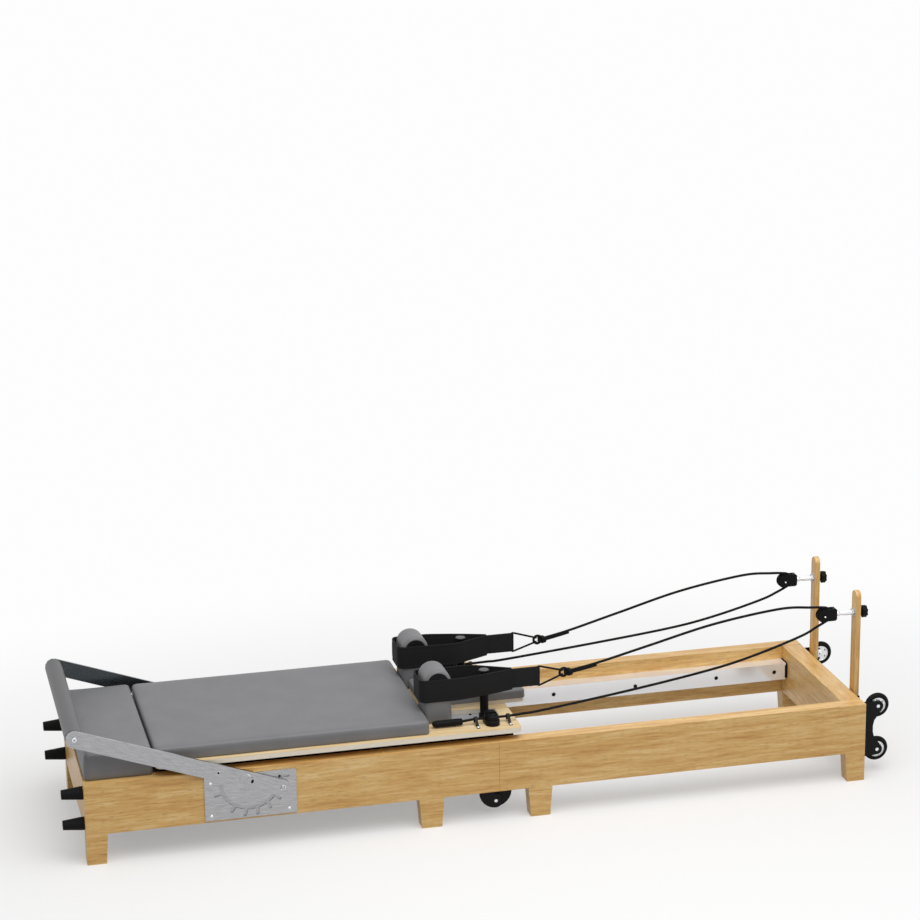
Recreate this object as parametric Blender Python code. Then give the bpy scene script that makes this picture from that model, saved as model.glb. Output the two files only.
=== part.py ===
"""Folding pilates reformer: an oak frame hinged in the middle, a rolling carriage and a footbar.

The length runs along X with the head end at +X, +Z is up and the near side is -Y.
Sizes are metres. The numbers below are measured from the seam between the two frame
halves, and one empty carries everything so that the origin lies under the middle of the
whole object.
"""

import math

import bmesh
import bpy

# Clearances, and how far joined shapes and cutters reach past a face
SEAT_GAP = 0.0003
RUNNING_GAP = 0.0003
JOIN_OVERLAP = 0.001
CUT_OVERRUN = 0.002

# Frame halves and their boards
FRAME_WIDTH = 0.620
FOOT_LENGTH = 1.250
HEAD_LENGTH = 1.180
RAIL_THICKNESS = 0.047
RAIL_BOTTOM = 0.094
RAIL_TOP = 0.253
FOOT_BOARD_THICKNESS = 0.068
FOOT_BOARD_INSET = 0.001
HEAD_BOARD_THICKNESS = 0.064
BOARD_EDGE = 0.0015
RAIL_OUTER_Y = FRAME_WIDTH / 2
RAIL_INNER_Y = RAIL_OUTER_Y - RAIL_THICKNESS
FOOT_BOARD_INNER_X = -FOOT_LENGTH + FOOT_BOARD_INSET + FOOT_BOARD_THICKNESS

# Legs, cut in one with the rails and narrower at the floor
END_LEG_WIDTH = 0.064
FOOT_INNER_LEG_START = 0.1726
FOOT_INNER_LEG_WIDTH = 0.0768
HEAD_INNER_LEG_START = 0.0908
HEAD_INNER_LEG_WIDTH = 0.0754
LEG_TAPER = 0.0075

# Slot in the top of the foot end board
SLOT_WIDTH = 0.020
SLOT_FROM_RAIL = 0.077
SLOT_DEPTH = 0.060
SLOT_FROM_END = 0.0235

# Cone feet that carry the folded frame when it stands on its foot end
CONE_BASE_RADIUS = 0.0195
CONE_SPIGOT_RADIUS = 0.010
CONE_SPIGOT_LENGTH = 0.010
CONE_RIM = 0.006
CONE_TIP_RADIUS = 0.0135
CONE_LENGTH = 0.063
CONE_FROM_OUTER_FACE = 0.0285
CONE_HEIGHTS = (0.123, 0.219)

# Square aluminium tracks on the inner faces of the rails
TRACK_WIDTH = 0.0485
TRACK_BOTTOM = 0.154
TRACK_TOP = 0.2095
TRACK_WALL = 0.0025
TRACK_END_GAP = 0.006
TRACK_HOLE_RADIUS = 0.004
TRACK_HOLE_HEIGHT = 0.182
TRACK_HOLES_FROM_HEAD_END = (0.867, 0.588, 0.311, 0.110)
TRACK_OUTER_Y = RAIL_INNER_Y - SEAT_GAP
TRACK_INNER_Y = TRACK_OUTER_Y - TRACK_WIDTH

# Folding hinge below the seam
FOLD_AXIS_Z = 0.0444
LEAF_THICKNESS = 0.0062
LEAF_RADIUS = 0.0515
LEAF_CENTRE_Z = 0.073
LEAF_TOP = 0.150
LEAF_EDGE_GAP = 0.0015
HINGE_TUBE_RADIUS = 0.0125
LEAF_SPACER_START = 0.028
LEAF_SPACER_BOTTOM = 0.105

# Spring bar at the foot end, a folded channel with five pegs
SPRING_SPACING = 0.072
SPRING_COUNT = 5
BAR_SHEET = 0.0045
BAR_TOP = 0.222
BAR_BOTTOM = 0.1175
BAR_TOP_FLANGE = 0.055
BAR_BOTTOM_FLANGE = 0.092
BAR_TRACK_GAP = 0.0007
PEG_RADIUS = 0.006
PEG_HEAD_RADIUS = 0.009
PEG_HEAD_THICKNESS = 0.004
PEG_HEAD_EDGE = 0.001
PEG_HEAD_ROUNDING = 0.002
PEG_HEIGHT = 0.016
PEG_FROM_END_BOARD = 0.024

# Footbar and its slotted plates, placed from the pivot
PIVOT_FROM_FOOT_END = 0.4883
PIVOT_Z = 0.2191
PLATE_THICKNESS = 0.0035
PLATE_FOOT_REACH = 0.1363
PLATE_HEAD_REACH = 0.1387
PLATE_BOTTOM = 0.100
PLATE_TOP = 0.240
PLATE_CORNER_RADIUS = 0.004
ARC_SLOT_INNER_RADIUS = 0.091
ARC_SLOT_OUTER_RADIUS = 0.101
ARC_SLOT_START = -173.0
ARC_SLOT_END = -20.0
NOTCH_RADIUS = 0.110
NOTCH_TIP_RADIUS = 0.113
NOTCH_HALF_ANGLE = 3.0
NOTCH_ANGLES = (-144.0, -113.0, -91.0, -68.0, -46.0, -32.0)
PILL_SLOT_START = 0.0897
PILL_SLOT_LENGTH = 0.028
PILL_SLOT_HEIGHT = 0.0034
PILL_SLOT_RADIUS = 0.005
ARM_WIDTH = 0.051
ARM_THICKNESS = 0.006
ARM_LENGTH = 0.5395
ARM_REST_ANGLE = 160.3
ARM_TAIL_LENGTH = 0.100
ARM_HOLE_DISTANCE = 0.0985
ARM_HOLE_RADIUS = 0.003
PIVOT_PIN_RADIUS = 0.006
PIVOT_HEAD_RADIUS = 0.011
PIN_HEAD_HEIGHT = 0.004
LOCK_PIN_RADIUS = 0.0065
LOCK_PIN_DISTANCE = 0.103
GRIP_RADIUS = 0.0265
GRIP_END_RADIUS = 0.0225
GRIP_END_ROLL = 0.006
GRIP_BOLT_RADIUS = 0.007
PIVOT_X = -FOOT_LENGTH + PIVOT_FROM_FOOT_END

# Platform pad at the foot end
PLATFORM_INSET = 0.005
PLATFORM_LENGTH = 0.203
PLATFORM_TOP = 0.336
PAD_FROM_OUTER_FACE = 0.025
PAD_HALF_WIDTH = RAIL_OUTER_Y - PAD_FROM_OUTER_FACE

# Carriage board, and its cut-outs as distances from the board's long edge
BOARD_FROM_FOOT_END = 0.215
BOARD_HEAD_X = 0.075
BOARD_FROM_OUTER_FACE = 0.007
BOARD_BOTTOM = 0.2755
BOARD_THICKNESS = 0.015
BOARD_CORNER = 0.020
CUTOUT_HEAD_X = 0.033
CUTOUT_FOOT_X = -0.125
CUTOUT_BEND_X = -0.050
CUTOUT_INNER_HEAD = 0.183
CUTOUT_OUTER_HEAD = 0.120
CUTOUT_INNER_FOOT = 0.197
CUTOUT_OUTER_FOOT = 0.104
BOARD_FOOT_X = -FOOT_LENGTH + BOARD_FROM_FOOT_END
BOARD_HALF_WIDTH = RAIL_OUTER_Y - BOARD_FROM_OUTER_FACE
BOARD_TOP = BOARD_BOTTOM + BOARD_THICKNESS

# Shoulder rests, upholstered arches
REST_FOOT_X = -0.2045
REST_LENGTH = 0.086
REST_WIDTH = 0.099
REST_FROM_EDGE = 0.099
REST_TOP = 0.462
REST_ROUNDING = ((0.007, 0.0), (0.002, 0.003), (0.0, 0.010))
REST_OUTER_Y = BOARD_HALF_WIDTH - REST_FROM_EDGE
REST_INNER_Y = REST_OUTER_Y - REST_WIDTH

# Carriage pad, from the board's foot edge to the shoulder rests
CARRIAGE_PAD_INSET = 0.002
CARRIAGE_PAD_REST_GAP = 0.001
CARRIAGE_PAD_TOP = 0.335

# Cushions: corners, crown and (inset, share of the height) of the drawn-in sides
CUSHION_CORNER = 0.018
CUSHION_CROWN = 0.004
CUSHION_SIDE = ((0.0040, 0.0), (0.0008, 0.18), (0.0, 0.45), (0.0012, 0.72))
CUSHION_SHOULDER = ((0.0055, 0.0060), (0.0140, 0.0014))
CUSHION_TOP = ((0.0400, 0.45), (0.0800, 0.0))
CUSHION_LEAST_CORNER = 0.004

# Headrest
HEADREST_FOOT_X = -0.187
HEADREST_HEAD_X = 0.137
HEADREST_BOARD_REST_GAP = 0.013
HEADREST_BOARD_THICKNESS = 0.012
HEADREST_BOARD_CORNER = 0.008
HEADREST_PAD_OVERHANG = 0.003
HEADREST_PAD_REST_GAP = 0.008
HEADREST_PAD_THICKNESS = 0.031
HEADREST_PAD_CORNER = 0.012
HEADREST_PAD_CROWN = 0.003

# Strap posts on plates under the cut-outs, as distances from the board's long edge
POST_X = -0.006
POST_FROM_EDGE = 0.152
POST_RADIUS = 0.011
POST_COLLAR_RADIUS = 0.017
POST_COLLAR_HEIGHT = 0.012
POST_TOP = 0.430
POST_CAP_RADIUS = 0.017
POST_CAP_THICKNESS = 0.006
POST_CAP_EDGE = 0.001
POST_CAP_ROUNDING = 0.002
POST_PLATE_X = (-0.128, 0.0345)
POST_PLATE_INNER = 0.205
POST_PLATE_OUTER = 0.091
POST_PLATE_THICKNESS = 0.004

# Oval rope cleats
CLEAT_X = -0.006
CLEAT_FROM_EDGE = 0.0645
CLEAT_LENGTH = 0.078
CLEAT_WIDTH = 0.045
CLEAT_BASE_HEIGHT = 0.016
CLEAT_HEIGHT = 0.031
CLEAT_STEP = 0.004
CLEAT_LOWER_ROUNDING = 0.002
CLEAT_UPPER_ROUNDING = 0.003
CLEAT_ROPE_HEIGHT = 0.016
CLEAT_ROPE_CLEARANCE = 0.0008
CLEAT_Y = BOARD_HALF_WIDTH - CLEAT_FROM_EDGE

# Underframe, wheels and guide rollers of the carriage
RUNNER_FOOT_INSET = 0.015
RUNNER_HEAD_INSET = 0.009
RUNNER_WEB_FROM_RAIL = 0.0395
RUNNER_SHEET = 0.004
RUNNER_BOTTOM = 0.226
RUNNER_FLANGE_FROM_RAIL = 0.001
CROSS_BAR_WIDTH = 0.028
CROSS_BAR_THICKNESS = 0.008
CROSS_BAR_BOTTOM = 0.262
FOOT_BAR_FROM_BOARD_EDGE = 0.045
ANCHOR_BAR_FROM_BOARD_EDGE = 0.475
HEAD_BAR_FROM_BOARD_EDGE = 0.027
ANCHOR_SHEET = 0.005
ANCHOR_MARGIN = 0.021
ANCHOR_BOTTOM = 0.150
LOAD_WHEEL_RADIUS = 0.025
LOAD_WHEEL_WIDTH = 0.016
LOAD_WHEEL_SIDE_GAP = 0.004
HEAD_WHEEL_FROM_BOARD_EDGE = 0.042
AXLE_RADIUS = 0.004
WHEEL_SHOULDER = 0.0025
ROLLER_RADIUS = 0.022
ROLLER_BOTTOM = 0.184
ROLLER_HEIGHT = 0.018
RUNNER_WEB_Y = RAIL_INNER_Y - RUNNER_WEB_FROM_RAIL
RUNNER_FLANGE_Y = RAIL_INNER_Y - RUNNER_FLANGE_FROM_RAIL
FOOT_BAR_X = BOARD_FOOT_X + FOOT_BAR_FROM_BOARD_EDGE
ANCHOR_X = BOARD_FOOT_X + ANCHOR_BAR_FROM_BOARD_EDGE
HEAD_BAR_X = BOARD_HEAD_X - HEAD_BAR_FROM_BOARD_EDGE
LOAD_WHEELS_X = {"foot": FOOT_BAR_X, "head": BOARD_HEAD_X - HEAD_WHEEL_FROM_BOARD_EDGE}
LOAD_WHEEL_Y = RUNNER_WEB_Y + RUNNER_SHEET + RUNNING_GAP + LOAD_WHEEL_WIDTH / 2 + LOAD_WHEEL_SIDE_GAP
LOAD_WHEEL_Z = TRACK_TOP + RUNNING_GAP + LOAD_WHEEL_RADIUS
ROLLER_Y = TRACK_INNER_Y - RUNNING_GAP - ROLLER_RADIUS

# Springs, lying loose between the anchor and the pegs
SPRING_Z = 0.165
SPRING_RADIUS = 0.0105
SPRING_TAIL_RADIUS = 0.0025
SPRING_TAIL_LENGTH = 0.154
SPRING_EYE_LENGTH = 0.012
SPRING_SHOULDER_LENGTH = 0.008
HANDLE_FROM_END_BOARD = 0.077
HANDLE_RADIUS = 0.0155
HANDLE_THICKNESS = 0.011
HANDLE_X = FOOT_BOARD_INNER_X + HANDLE_FROM_END_BOARD

# Foot straps, padded bands round the shoulder rests, sewn to a webbing
STRAP_THICKNESS = 0.005
STRAP_FROM_REST = 0.012
STRAP_CORNER_RADIUS = 0.019
STRAP_INNER_REST_GAP = 0.0035
STRAP_INNER_BEND_X = -0.040
STRAP_OUTER_BEND_X = -0.100
STRAP_JOIN_X = 0.080
STRAP_JOIN_HALF_WIDTH = 0.0035
STRAP_FOOT_BOTTOM = 0.3615
STRAP_FOOT_TOP = 0.433
STRAP_JOIN_BOTTOM = 0.361
STRAP_JOIN_TOP = 0.429
WEBBING_FROM_EDGE = 0.145
WEBBING_LENGTH = 0.087
WEBBING_TUCK = 0.006
WEBBING_HALF_THICKNESS = 0.0045
WEBBING_BOTTOM = 0.3655
WEBBING_TOP = 0.4255
WEBBING_Y = BOARD_HALF_WIDTH - WEBBING_FROM_EDGE
WEBBING_END_X = STRAP_JOIN_X + WEBBING_LENGTH

# Head end: risers, pulleys, knobs and transport wheels
RISER_FROM_OUTER_FACE = 0.133
RISER_WIDTH = 0.060
RISER_THICKNESS = 0.016
RISER_BOTTOM = 0.105
RISER_TOP = 0.583
PULLEY_FROM_HEAD_END = 0.097
PULLEY_Z = 0.512
FORK_CHEEK_RADIUS = 0.020
FORK_CHEEK_THICKNESS = 0.0025
FORK_CHEEK_GAP = 0.0005
FORK_CORNER = 0.005
FORK_BRIDGE_START = 0.0288
FORK_BRIDGE_END = 0.042
FORK_STEM_RADIUS = 0.007
FORK_STEM_REACH = 0.0535
PULLEY_PIN_RADIUS = 0.0032
SHEAVE_RADIUS = 0.0232
SHEAVE_GROOVE_RADIUS = 0.0197
SHEAVE_WIDTH = 0.015
SHEAVE_GROOVE_WIDTH = 0.0106
SHEAVE_LIP = 0.0004
KNOB_RADIUS = 0.019
KNOB_THICKNESS = 0.022
KNOB_LOBES = 7
KNOB_LOBE_SHARE = 0.09
KNOB_SHAFT_RADIUS = 0.005
KNOB_SHAFT_REACH = 0.004
TRANSPORT_WHEEL_FROM_HEAD_END = 0.061
TRANSPORT_WHEEL_HEIGHTS = {"lower": 0.077, "upper": 0.222}
TRANSPORT_WHEEL_RADIUS = 0.040
TRANSPORT_WHEEL_WIDTH = 0.018
TREAD_EDGE_DROP = 0.006
TREAD_SHOULDER_DROP = 0.0015
TRANSPORT_WHEEL_SIDE_GAP = 0.002
BRACKET_CHEEK_FROM_OUTER_FACE = 0.0515
BRACKET_FLANGE_FROM_OUTER_FACE = 0.0815
BRACKET_SHEET = 0.003
BRACKET_BOTTOM = 0.0565
BRACKET_TOP = 0.240
BRACKET_LOBE_RADIUS = 0.0172
BRACKET_LOBE_END = 35.0
BRACKET_NECK = ((0.049, -0.0265), (0.045, -0.0105), (0.045, 0.0105), (0.049, 0.0265))
RISER_Y = RAIL_OUTER_Y - RISER_FROM_OUTER_FACE
PULLEY_X = HEAD_LENGTH - PULLEY_FROM_HEAD_END
TRANSPORT_WHEEL_X = HEAD_LENGTH + TRANSPORT_WHEEL_FROM_HEAD_END
BRACKET_CHEEK_Y = RAIL_OUTER_Y - BRACKET_CHEEK_FROM_OUTER_FACE

# Ropes, far side values. Each stretch is laid out from what it is tied to or runs over:
# the end of the webbing, the sheave's centre, and the rope's place in the cleat.
ROPE_RADIUS = 0.004
ROPE_WRAP_RADIUS = 0.024
ROPE_WRAP_START = 86.0
ROPE_WRAP_END = -62.0
ROPE_FROM_WEBBING = (
    (0.0015, 0.0000, 0.0000),
    (0.0807, -0.0050, 0.0025),
    (0.1840, -0.0020, 0.0225),
)
ROPE_TO_SHEAVE = (
    (-0.5660, -0.0160, -0.0520),
    (-0.3570, -0.0100, 0.0000),
    (-0.1470, -0.0040, 0.0310),
    (-0.0430, 0.0000, 0.0280),
)
ROPE_FROM_SHEAVE = (
    (-0.0230, 0.0010, -0.0385),
    (-0.0770, 0.0060, -0.0620),
    (-0.2230, 0.0150, -0.1040),
    (-0.3675, 0.0240, -0.1340),
    (-0.6180, 0.0400, -0.1670),
)
ROPE_TO_CLEAT = (
    (0.1700, -0.0065, 0.0059),
    (0.1060, -0.0030, 0.0022),
    (0.0530, -0.0003, 0.0002),
    (0.0000, 0.0000, 0.0000),
    (-0.0540, 0.0000, 0.0003),
    (-0.0930, 0.0000, -0.0030),
)
ROPE_STEP = 0.034
SLEEVE_RADIUS = 0.0115
SLEEVE_FROM_CLEAT = (-0.094, -0.184)
SLEEVE_HEIGHT = 0.012

SIDES = {"near": -1, "far": 1}
FOOT_END_X = -FOOT_LENGTH - CONE_LENGTH
HEAD_END_X = TRANSPORT_WHEEL_X + TRANSPORT_WHEEL_RADIUS
MIDDLE_X = (FOOT_END_X + HEAD_END_X) / 2


def clear_scene():
    for item in list(bpy.data.objects):
        bpy.data.objects.remove(item, do_unlink=True)


def material(name, colour, roughness, metallic=0.0):
    made = bpy.data.materials.new(name)
    made.use_nodes = True
    shader = made.node_tree.nodes["Principled BSDF"]
    shader.inputs["Base Color"].default_value = (*colour, 1.0)
    shader.inputs["Roughness"].default_value = roughness
    shader.inputs["Metallic"].default_value = metallic
    return made


def make_materials():
    return {
        "oak": material("oak", (0.60, 0.36, 0.15), 0.45),
        "plywood": material("plywood", (0.78, 0.60, 0.36), 0.5),
        "leather": material("grey_leather", (0.09, 0.09, 0.095), 0.5),
        "aluminium": material("aluminium", (0.80, 0.80, 0.82), 0.2, 1.0),
        "steel": material("brushed_steel", (0.55, 0.56, 0.58), 0.35, 1.0),
        "black": material("black_metal", (0.012, 0.012, 0.013), 0.4, 0.5),
        "plastic": material("black_plastic", (0.015, 0.015, 0.016), 0.5),
        "grip": material("grey_grip", (0.42, 0.43, 0.44), 0.5),
        "rope": material("black_rope", (0.012, 0.012, 0.012), 0.8),
        "webbing": material("black_webbing", (0.02, 0.02, 0.021), 0.8),
        "tyre": material("tyre", (0.02, 0.02, 0.02), 0.6),
        "spring": material("spring_wire", (0.45, 0.45, 0.46), 0.35, 1.0),
    }


# Outlines and solids


def arc(centre, radius, start, end, count):
    """Points of an arc, in degrees, both ends included."""
    points = []
    for index in range(count + 1):
        angle = math.radians(start + (end - start) * index / count)
        points.append((centre[0] + radius * math.cos(angle), centre[1] + radius * math.sin(angle)))
    return points


def rounded_rectangle(low, high, radius, corner_steps=3, side_steps=(1, 1)):
    """Corner by corner outline, with the long sides divided into side_steps."""
    corners = (
        ((high[0] - radius, high[1] - radius), 0),
        ((low[0] + radius, high[1] - radius), 90),
        ((low[0] + radius, low[1] + radius), 180),
        ((high[0] - radius, low[1] + radius), 270),
    )
    points = []
    for index, (centre, start) in enumerate(corners):
        corner = arc(centre, radius, start, start + 90, corner_steps)
        following, following_start = corners[(index + 1) % 4]
        target = arc(following, radius, following_start, following_start + 90, corner_steps)[0]
        points.extend(corner)
        steps = side_steps[index % 2]
        for step in range(1, steps):
            share = step / steps
            points.append((
                corner[-1][0] + (target[0] - corner[-1][0]) * share,
                corner[-1][1] + (target[1] - corner[-1][1]) * share,
            ))
    return points


def place(plane, first, second, height):
    """A point from its two outline coordinates and its height along the third axis."""
    if plane == "XY":
        return (first, second, height)
    if plane == "XZ":
        return (first, height, second)
    return (height, first, second)


def prism(plane, outline, low, high):
    """Extrude an outline from low to high along the axis that the plane leaves out."""
    made = bmesh.new()
    corners = [made.verts.new(place(plane, a, b, low)) for a, b in outline]
    face = made.faces.new(corners)
    grown = bmesh.ops.extrude_face_region(made, geom=[face])
    moved = [item for item in grown["geom"] if isinstance(item, bmesh.types.BMVert)]
    bmesh.ops.translate(made, verts=moved, vec=place(plane, 0, 0, high - low))
    bmesh.ops.recalc_face_normals(made, faces=made.faces)
    return made


def box(x_range, y_range, z_range):
    corners = [
        (x_range[0], y_range[0]),
        (x_range[1], y_range[0]),
        (x_range[1], y_range[1]),
        (x_range[0], y_range[1]),
    ]
    return prism("XY", corners, z_range[0], z_range[1])


def lathe(axis, centre, profile, segments, closed=False):
    """Turn a profile of (radius, position) points about an axis through centre."""
    made = bmesh.new()
    verts = []
    for radius, position in profile:
        if axis == "X":
            verts.append(made.verts.new((position, 0, radius)))
        elif axis == "Y":
            verts.append(made.verts.new((radius, position, 0)))
        else:
            verts.append(made.verts.new((radius, 0, position)))
    edges = [made.edges.new((a, b)) for a, b in zip(verts, verts[1:])]
    if closed:
        edges.append(made.edges.new((verts[-1], verts[0])))
    direction = {"X": (1, 0, 0), "Y": (0, 1, 0), "Z": (0, 0, 1)}[axis]
    bmesh.ops.spin(
        made, geom=verts + edges, cent=(0, 0, 0), axis=direction,
        angle=math.tau, steps=segments, use_merge=True,
    )
    bmesh.ops.remove_doubles(made, verts=made.verts, dist=0.000001)
    bmesh.ops.recalc_face_normals(made, faces=made.faces)
    bmesh.ops.translate(made, verts=made.verts, vec=centre)
    return made


def cylinder(axis, centre, radius, low, high, segments=16):
    return lathe(axis, centre, ((0, low), (radius, low), (radius, high), (0, high)), segments)


def loft(rings, capped=True):
    """Skin a list of rings with the same number of points; capped closes both ends."""
    made = bmesh.new()
    loops = [[made.verts.new(point) for point in ring] for ring in rings]
    count = len(loops[0])
    pairs = list(zip(loops, loops[1:]))
    if not capped:
        pairs.append((loops[-1], loops[0]))
    for lower, upper in pairs:
        for index in range(count):
            following = (index + 1) % count
            made.faces.new((lower[index], lower[following], upper[following], upper[index]))
    if capped:
        made.faces.new(loops[0])
        made.faces.new(loops[-1])
    bmesh.ops.recalc_face_normals(made, faces=made.faces)
    return made


# Objects


class Builder:
    """Keeps the carrier empty and the materials while the sub-parts are added."""

    def __init__(self):
        self.materials = make_materials()
        self.root = bpy.data.objects.new("reformer", None)
        self.root.location = (-MIDDLE_X, 0, 0)
        bpy.context.collection.objects.link(self.root)

    def link(self, item, origin):
        item.location = origin
        item.parent = self.root
        bpy.context.collection.objects.link(item)

    def add(self, name, shape, finish, origin=(0, 0, 0), smooth=None, cuts=(), unions=()):
        """Name one sub-part, with its origin where it turns and its cuts and joined shapes."""
        bmesh.ops.translate(shape, verts=shape.verts, vec=[-value for value in origin])
        mesh = bpy.data.meshes.new(name)
        shape.to_mesh(mesh)
        shape.free()
        mesh.materials.append(self.materials[finish])
        item = bpy.data.objects.new(name, mesh)
        self.link(item, origin)
        for operation, tools in (("UNION", unions), ("DIFFERENCE", cuts)):
            for index, tool in enumerate(tools):
                self.combine(item, tool, operation, f"{name}_{operation.lower()}_{index}", origin)
        if smooth:
            mesh.shade_smooth()
            mesh.set_sharp_from_angle(angle=math.radians(smooth))
        return item

    def combine(self, item, tool, operation, name, origin):
        bmesh.ops.translate(tool, verts=tool.verts, vec=[-value for value in origin])
        mesh = bpy.data.meshes.new(name)
        tool.to_mesh(mesh)
        tool.free()
        helper = bpy.data.objects.new(name, mesh)
        self.link(helper, origin)
        helper.hide_render = True
        helper.display_type = "WIRE"
        modifier = item.modifiers.new(name, "BOOLEAN")
        modifier.operation = operation
        modifier.solver = "EXACT"
        modifier.object = helper

    def bevel(self, item, width, angle=40):
        modifier = item.modifiers.new("edges", "BEVEL")
        modifier.width = width
        modifier.segments = 1
        modifier.limit_method = "ANGLE"
        modifier.angle_limit = math.radians(angle)


def span(sign, inner, outer):
    """The Y range of something that reaches from inner to outer on one side."""
    return (inner, outer) if sign > 0 else (-outer, -inner)


# Frame


def foot_rail_outline():
    end = -FOOT_LENGTH
    seam = -SEAT_GAP
    leg = -FOOT_INNER_LEG_START
    leg_end = leg - FOOT_INNER_LEG_WIDTH
    return (
        (end, RAIL_TOP),
        (end, 0),
        (end + END_LEG_WIDTH - LEG_TAPER, 0),
        (end + END_LEG_WIDTH, RAIL_BOTTOM),
        (leg_end, RAIL_BOTTOM),
        (leg_end + LEG_TAPER, 0),
        (leg - LEG_TAPER, 0),
        (leg, RAIL_BOTTOM),
        (seam, RAIL_BOTTOM),
        (seam, RAIL_TOP),
    )


def head_rail_outline():
    end = HEAD_LENGTH
    seam = SEAT_GAP
    leg = HEAD_INNER_LEG_START
    leg_end = leg + HEAD_INNER_LEG_WIDTH
    return (
        (end, RAIL_TOP),
        (end, 0),
        (end - END_LEG_WIDTH + LEG_TAPER, 0),
        (end - END_LEG_WIDTH, RAIL_BOTTOM),
        (leg_end, RAIL_BOTTOM),
        (leg_end - LEG_TAPER, 0),
        (leg + LEG_TAPER, 0),
        (leg, RAIL_BOTTOM),
        (seam, RAIL_BOTTOM),
        (seam, RAIL_TOP),
    )


def cone_foot(sign, height):
    """One rubber cone, held by a spigot in the end grain of its rail."""
    root = -FOOT_LENGTH + CONE_SPIGOT_LENGTH
    tip = -FOOT_LENGTH - CONE_LENGTH
    profile = (
        (0, root),
        (CONE_SPIGOT_RADIUS, root),
        (CONE_SPIGOT_RADIUS, -FOOT_LENGTH),
        (CONE_BASE_RADIUS, -FOOT_LENGTH),
        (CONE_BASE_RADIUS, -FOOT_LENGTH - CONE_RIM),
        (CONE_TIP_RADIUS, tip),
        (0, tip),
    )
    return lathe("X", (0, sign * (RAIL_OUTER_Y - CONE_FROM_OUTER_FACE), height), profile, 16)


def add_frame(build):
    for side, sign in SIDES.items():
        y_range = span(sign, RAIL_INNER_Y, RAIL_OUTER_Y)
        foot = prism("XZ", foot_rail_outline(), *y_range)
        cones = [cone_foot(sign, height) for height in CONE_HEIGHTS]
        build.add(f"foot_rail_{side}", foot, "oak", unions=cones)
        head = prism("XZ", head_rail_outline(), *y_range)
        build.add(f"head_rail_{side}", head, "oak", origin=(0, 0, FOLD_AXIS_Z))
    board_half_width = RAIL_INNER_Y - SEAT_GAP
    foot_board = box(
        (-FOOT_LENGTH + FOOT_BOARD_INSET, FOOT_BOARD_INNER_X),
        (-board_half_width, board_half_width),
        (RAIL_BOTTOM, RAIL_TOP),
    )
    slot_start = -FOOT_LENGTH + FOOT_BOARD_INSET + SLOT_FROM_END
    slot_reach = RAIL_INNER_Y - SLOT_FROM_RAIL
    slot = box(
        (slot_start, slot_start + SLOT_WIDTH),
        (-slot_reach, slot_reach),
        (RAIL_TOP - SLOT_DEPTH, RAIL_TOP + SLOT_DEPTH),
    )
    build.add("foot_end_board", foot_board, "oak", cuts=[slot])
    head_board = box(
        (HEAD_LENGTH - HEAD_BOARD_THICKNESS, HEAD_LENGTH),
        (-board_half_width, board_half_width),
        (RAIL_BOTTOM, RAIL_TOP),
    )
    item = build.add("head_end_board", head_board, "oak", origin=(0, 0, FOLD_AXIS_Z))
    build.bevel(item, BOARD_EDGE)


def add_tracks(build):
    foot_range = (FOOT_BOARD_INNER_X + SEAT_GAP, -SEAT_GAP)
    head_range = (SEAT_GAP, HEAD_LENGTH - HEAD_BOARD_THICKNESS - TRACK_END_GAP)
    for side, sign in SIDES.items():
        for half, x_range in (("foot", foot_range), ("head", head_range)):
            tube = box(x_range, span(sign, TRACK_INNER_Y, TRACK_OUTER_Y), (TRACK_BOTTOM, TRACK_TOP))
            hollow = box(
                (x_range[0] - TRACK_WALL, x_range[1] + TRACK_WALL),
                span(sign, TRACK_INNER_Y + TRACK_WALL, TRACK_OUTER_Y - TRACK_WALL),
                (TRACK_BOTTOM + TRACK_WALL, TRACK_TOP - TRACK_WALL),
            )
            cuts = [hollow]
            if half == "head":
                for distance in TRACK_HOLES_FROM_HEAD_END:
                    centre = (HEAD_LENGTH - distance, 0, TRACK_HOLE_HEIGHT)
                    reach = span(sign, TRACK_INNER_Y - TRACK_WALL, TRACK_INNER_Y + 2 * TRACK_WALL)
                    cuts.append(cylinder("Y", centre, TRACK_HOLE_RADIUS, *reach, segments=10))
            origin = (0, 0, FOLD_AXIS_Z) if half == "head" else (0, 0, 0)
            build.add(f"{half}_track_{side}", tube, "aluminium", origin=origin, cuts=cuts)


# Folding hinge


def leaf_outline(direction):
    """Half of the hinge disc under one rail, with the eye round the pin; direction is its side."""
    eye = FOLD_AXIS_Z - (LEAF_CENTRE_Z - LEAF_RADIUS)
    quarter = arc((0, LEAF_CENTRE_Z), LEAF_RADIUS, 180, 270, 6)
    round_eye = arc((0, FOLD_AXIS_Z), eye, -90, 90, 8)[1:]
    points = [(-LEAF_RADIUS, LEAF_TOP)] + quarter + round_eye
    points.append((-LEAF_EDGE_GAP, FOLD_AXIS_Z + eye))
    points.append((-LEAF_EDGE_GAP, LEAF_TOP))
    return [(x * -direction, z) for x, z in points]


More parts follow.
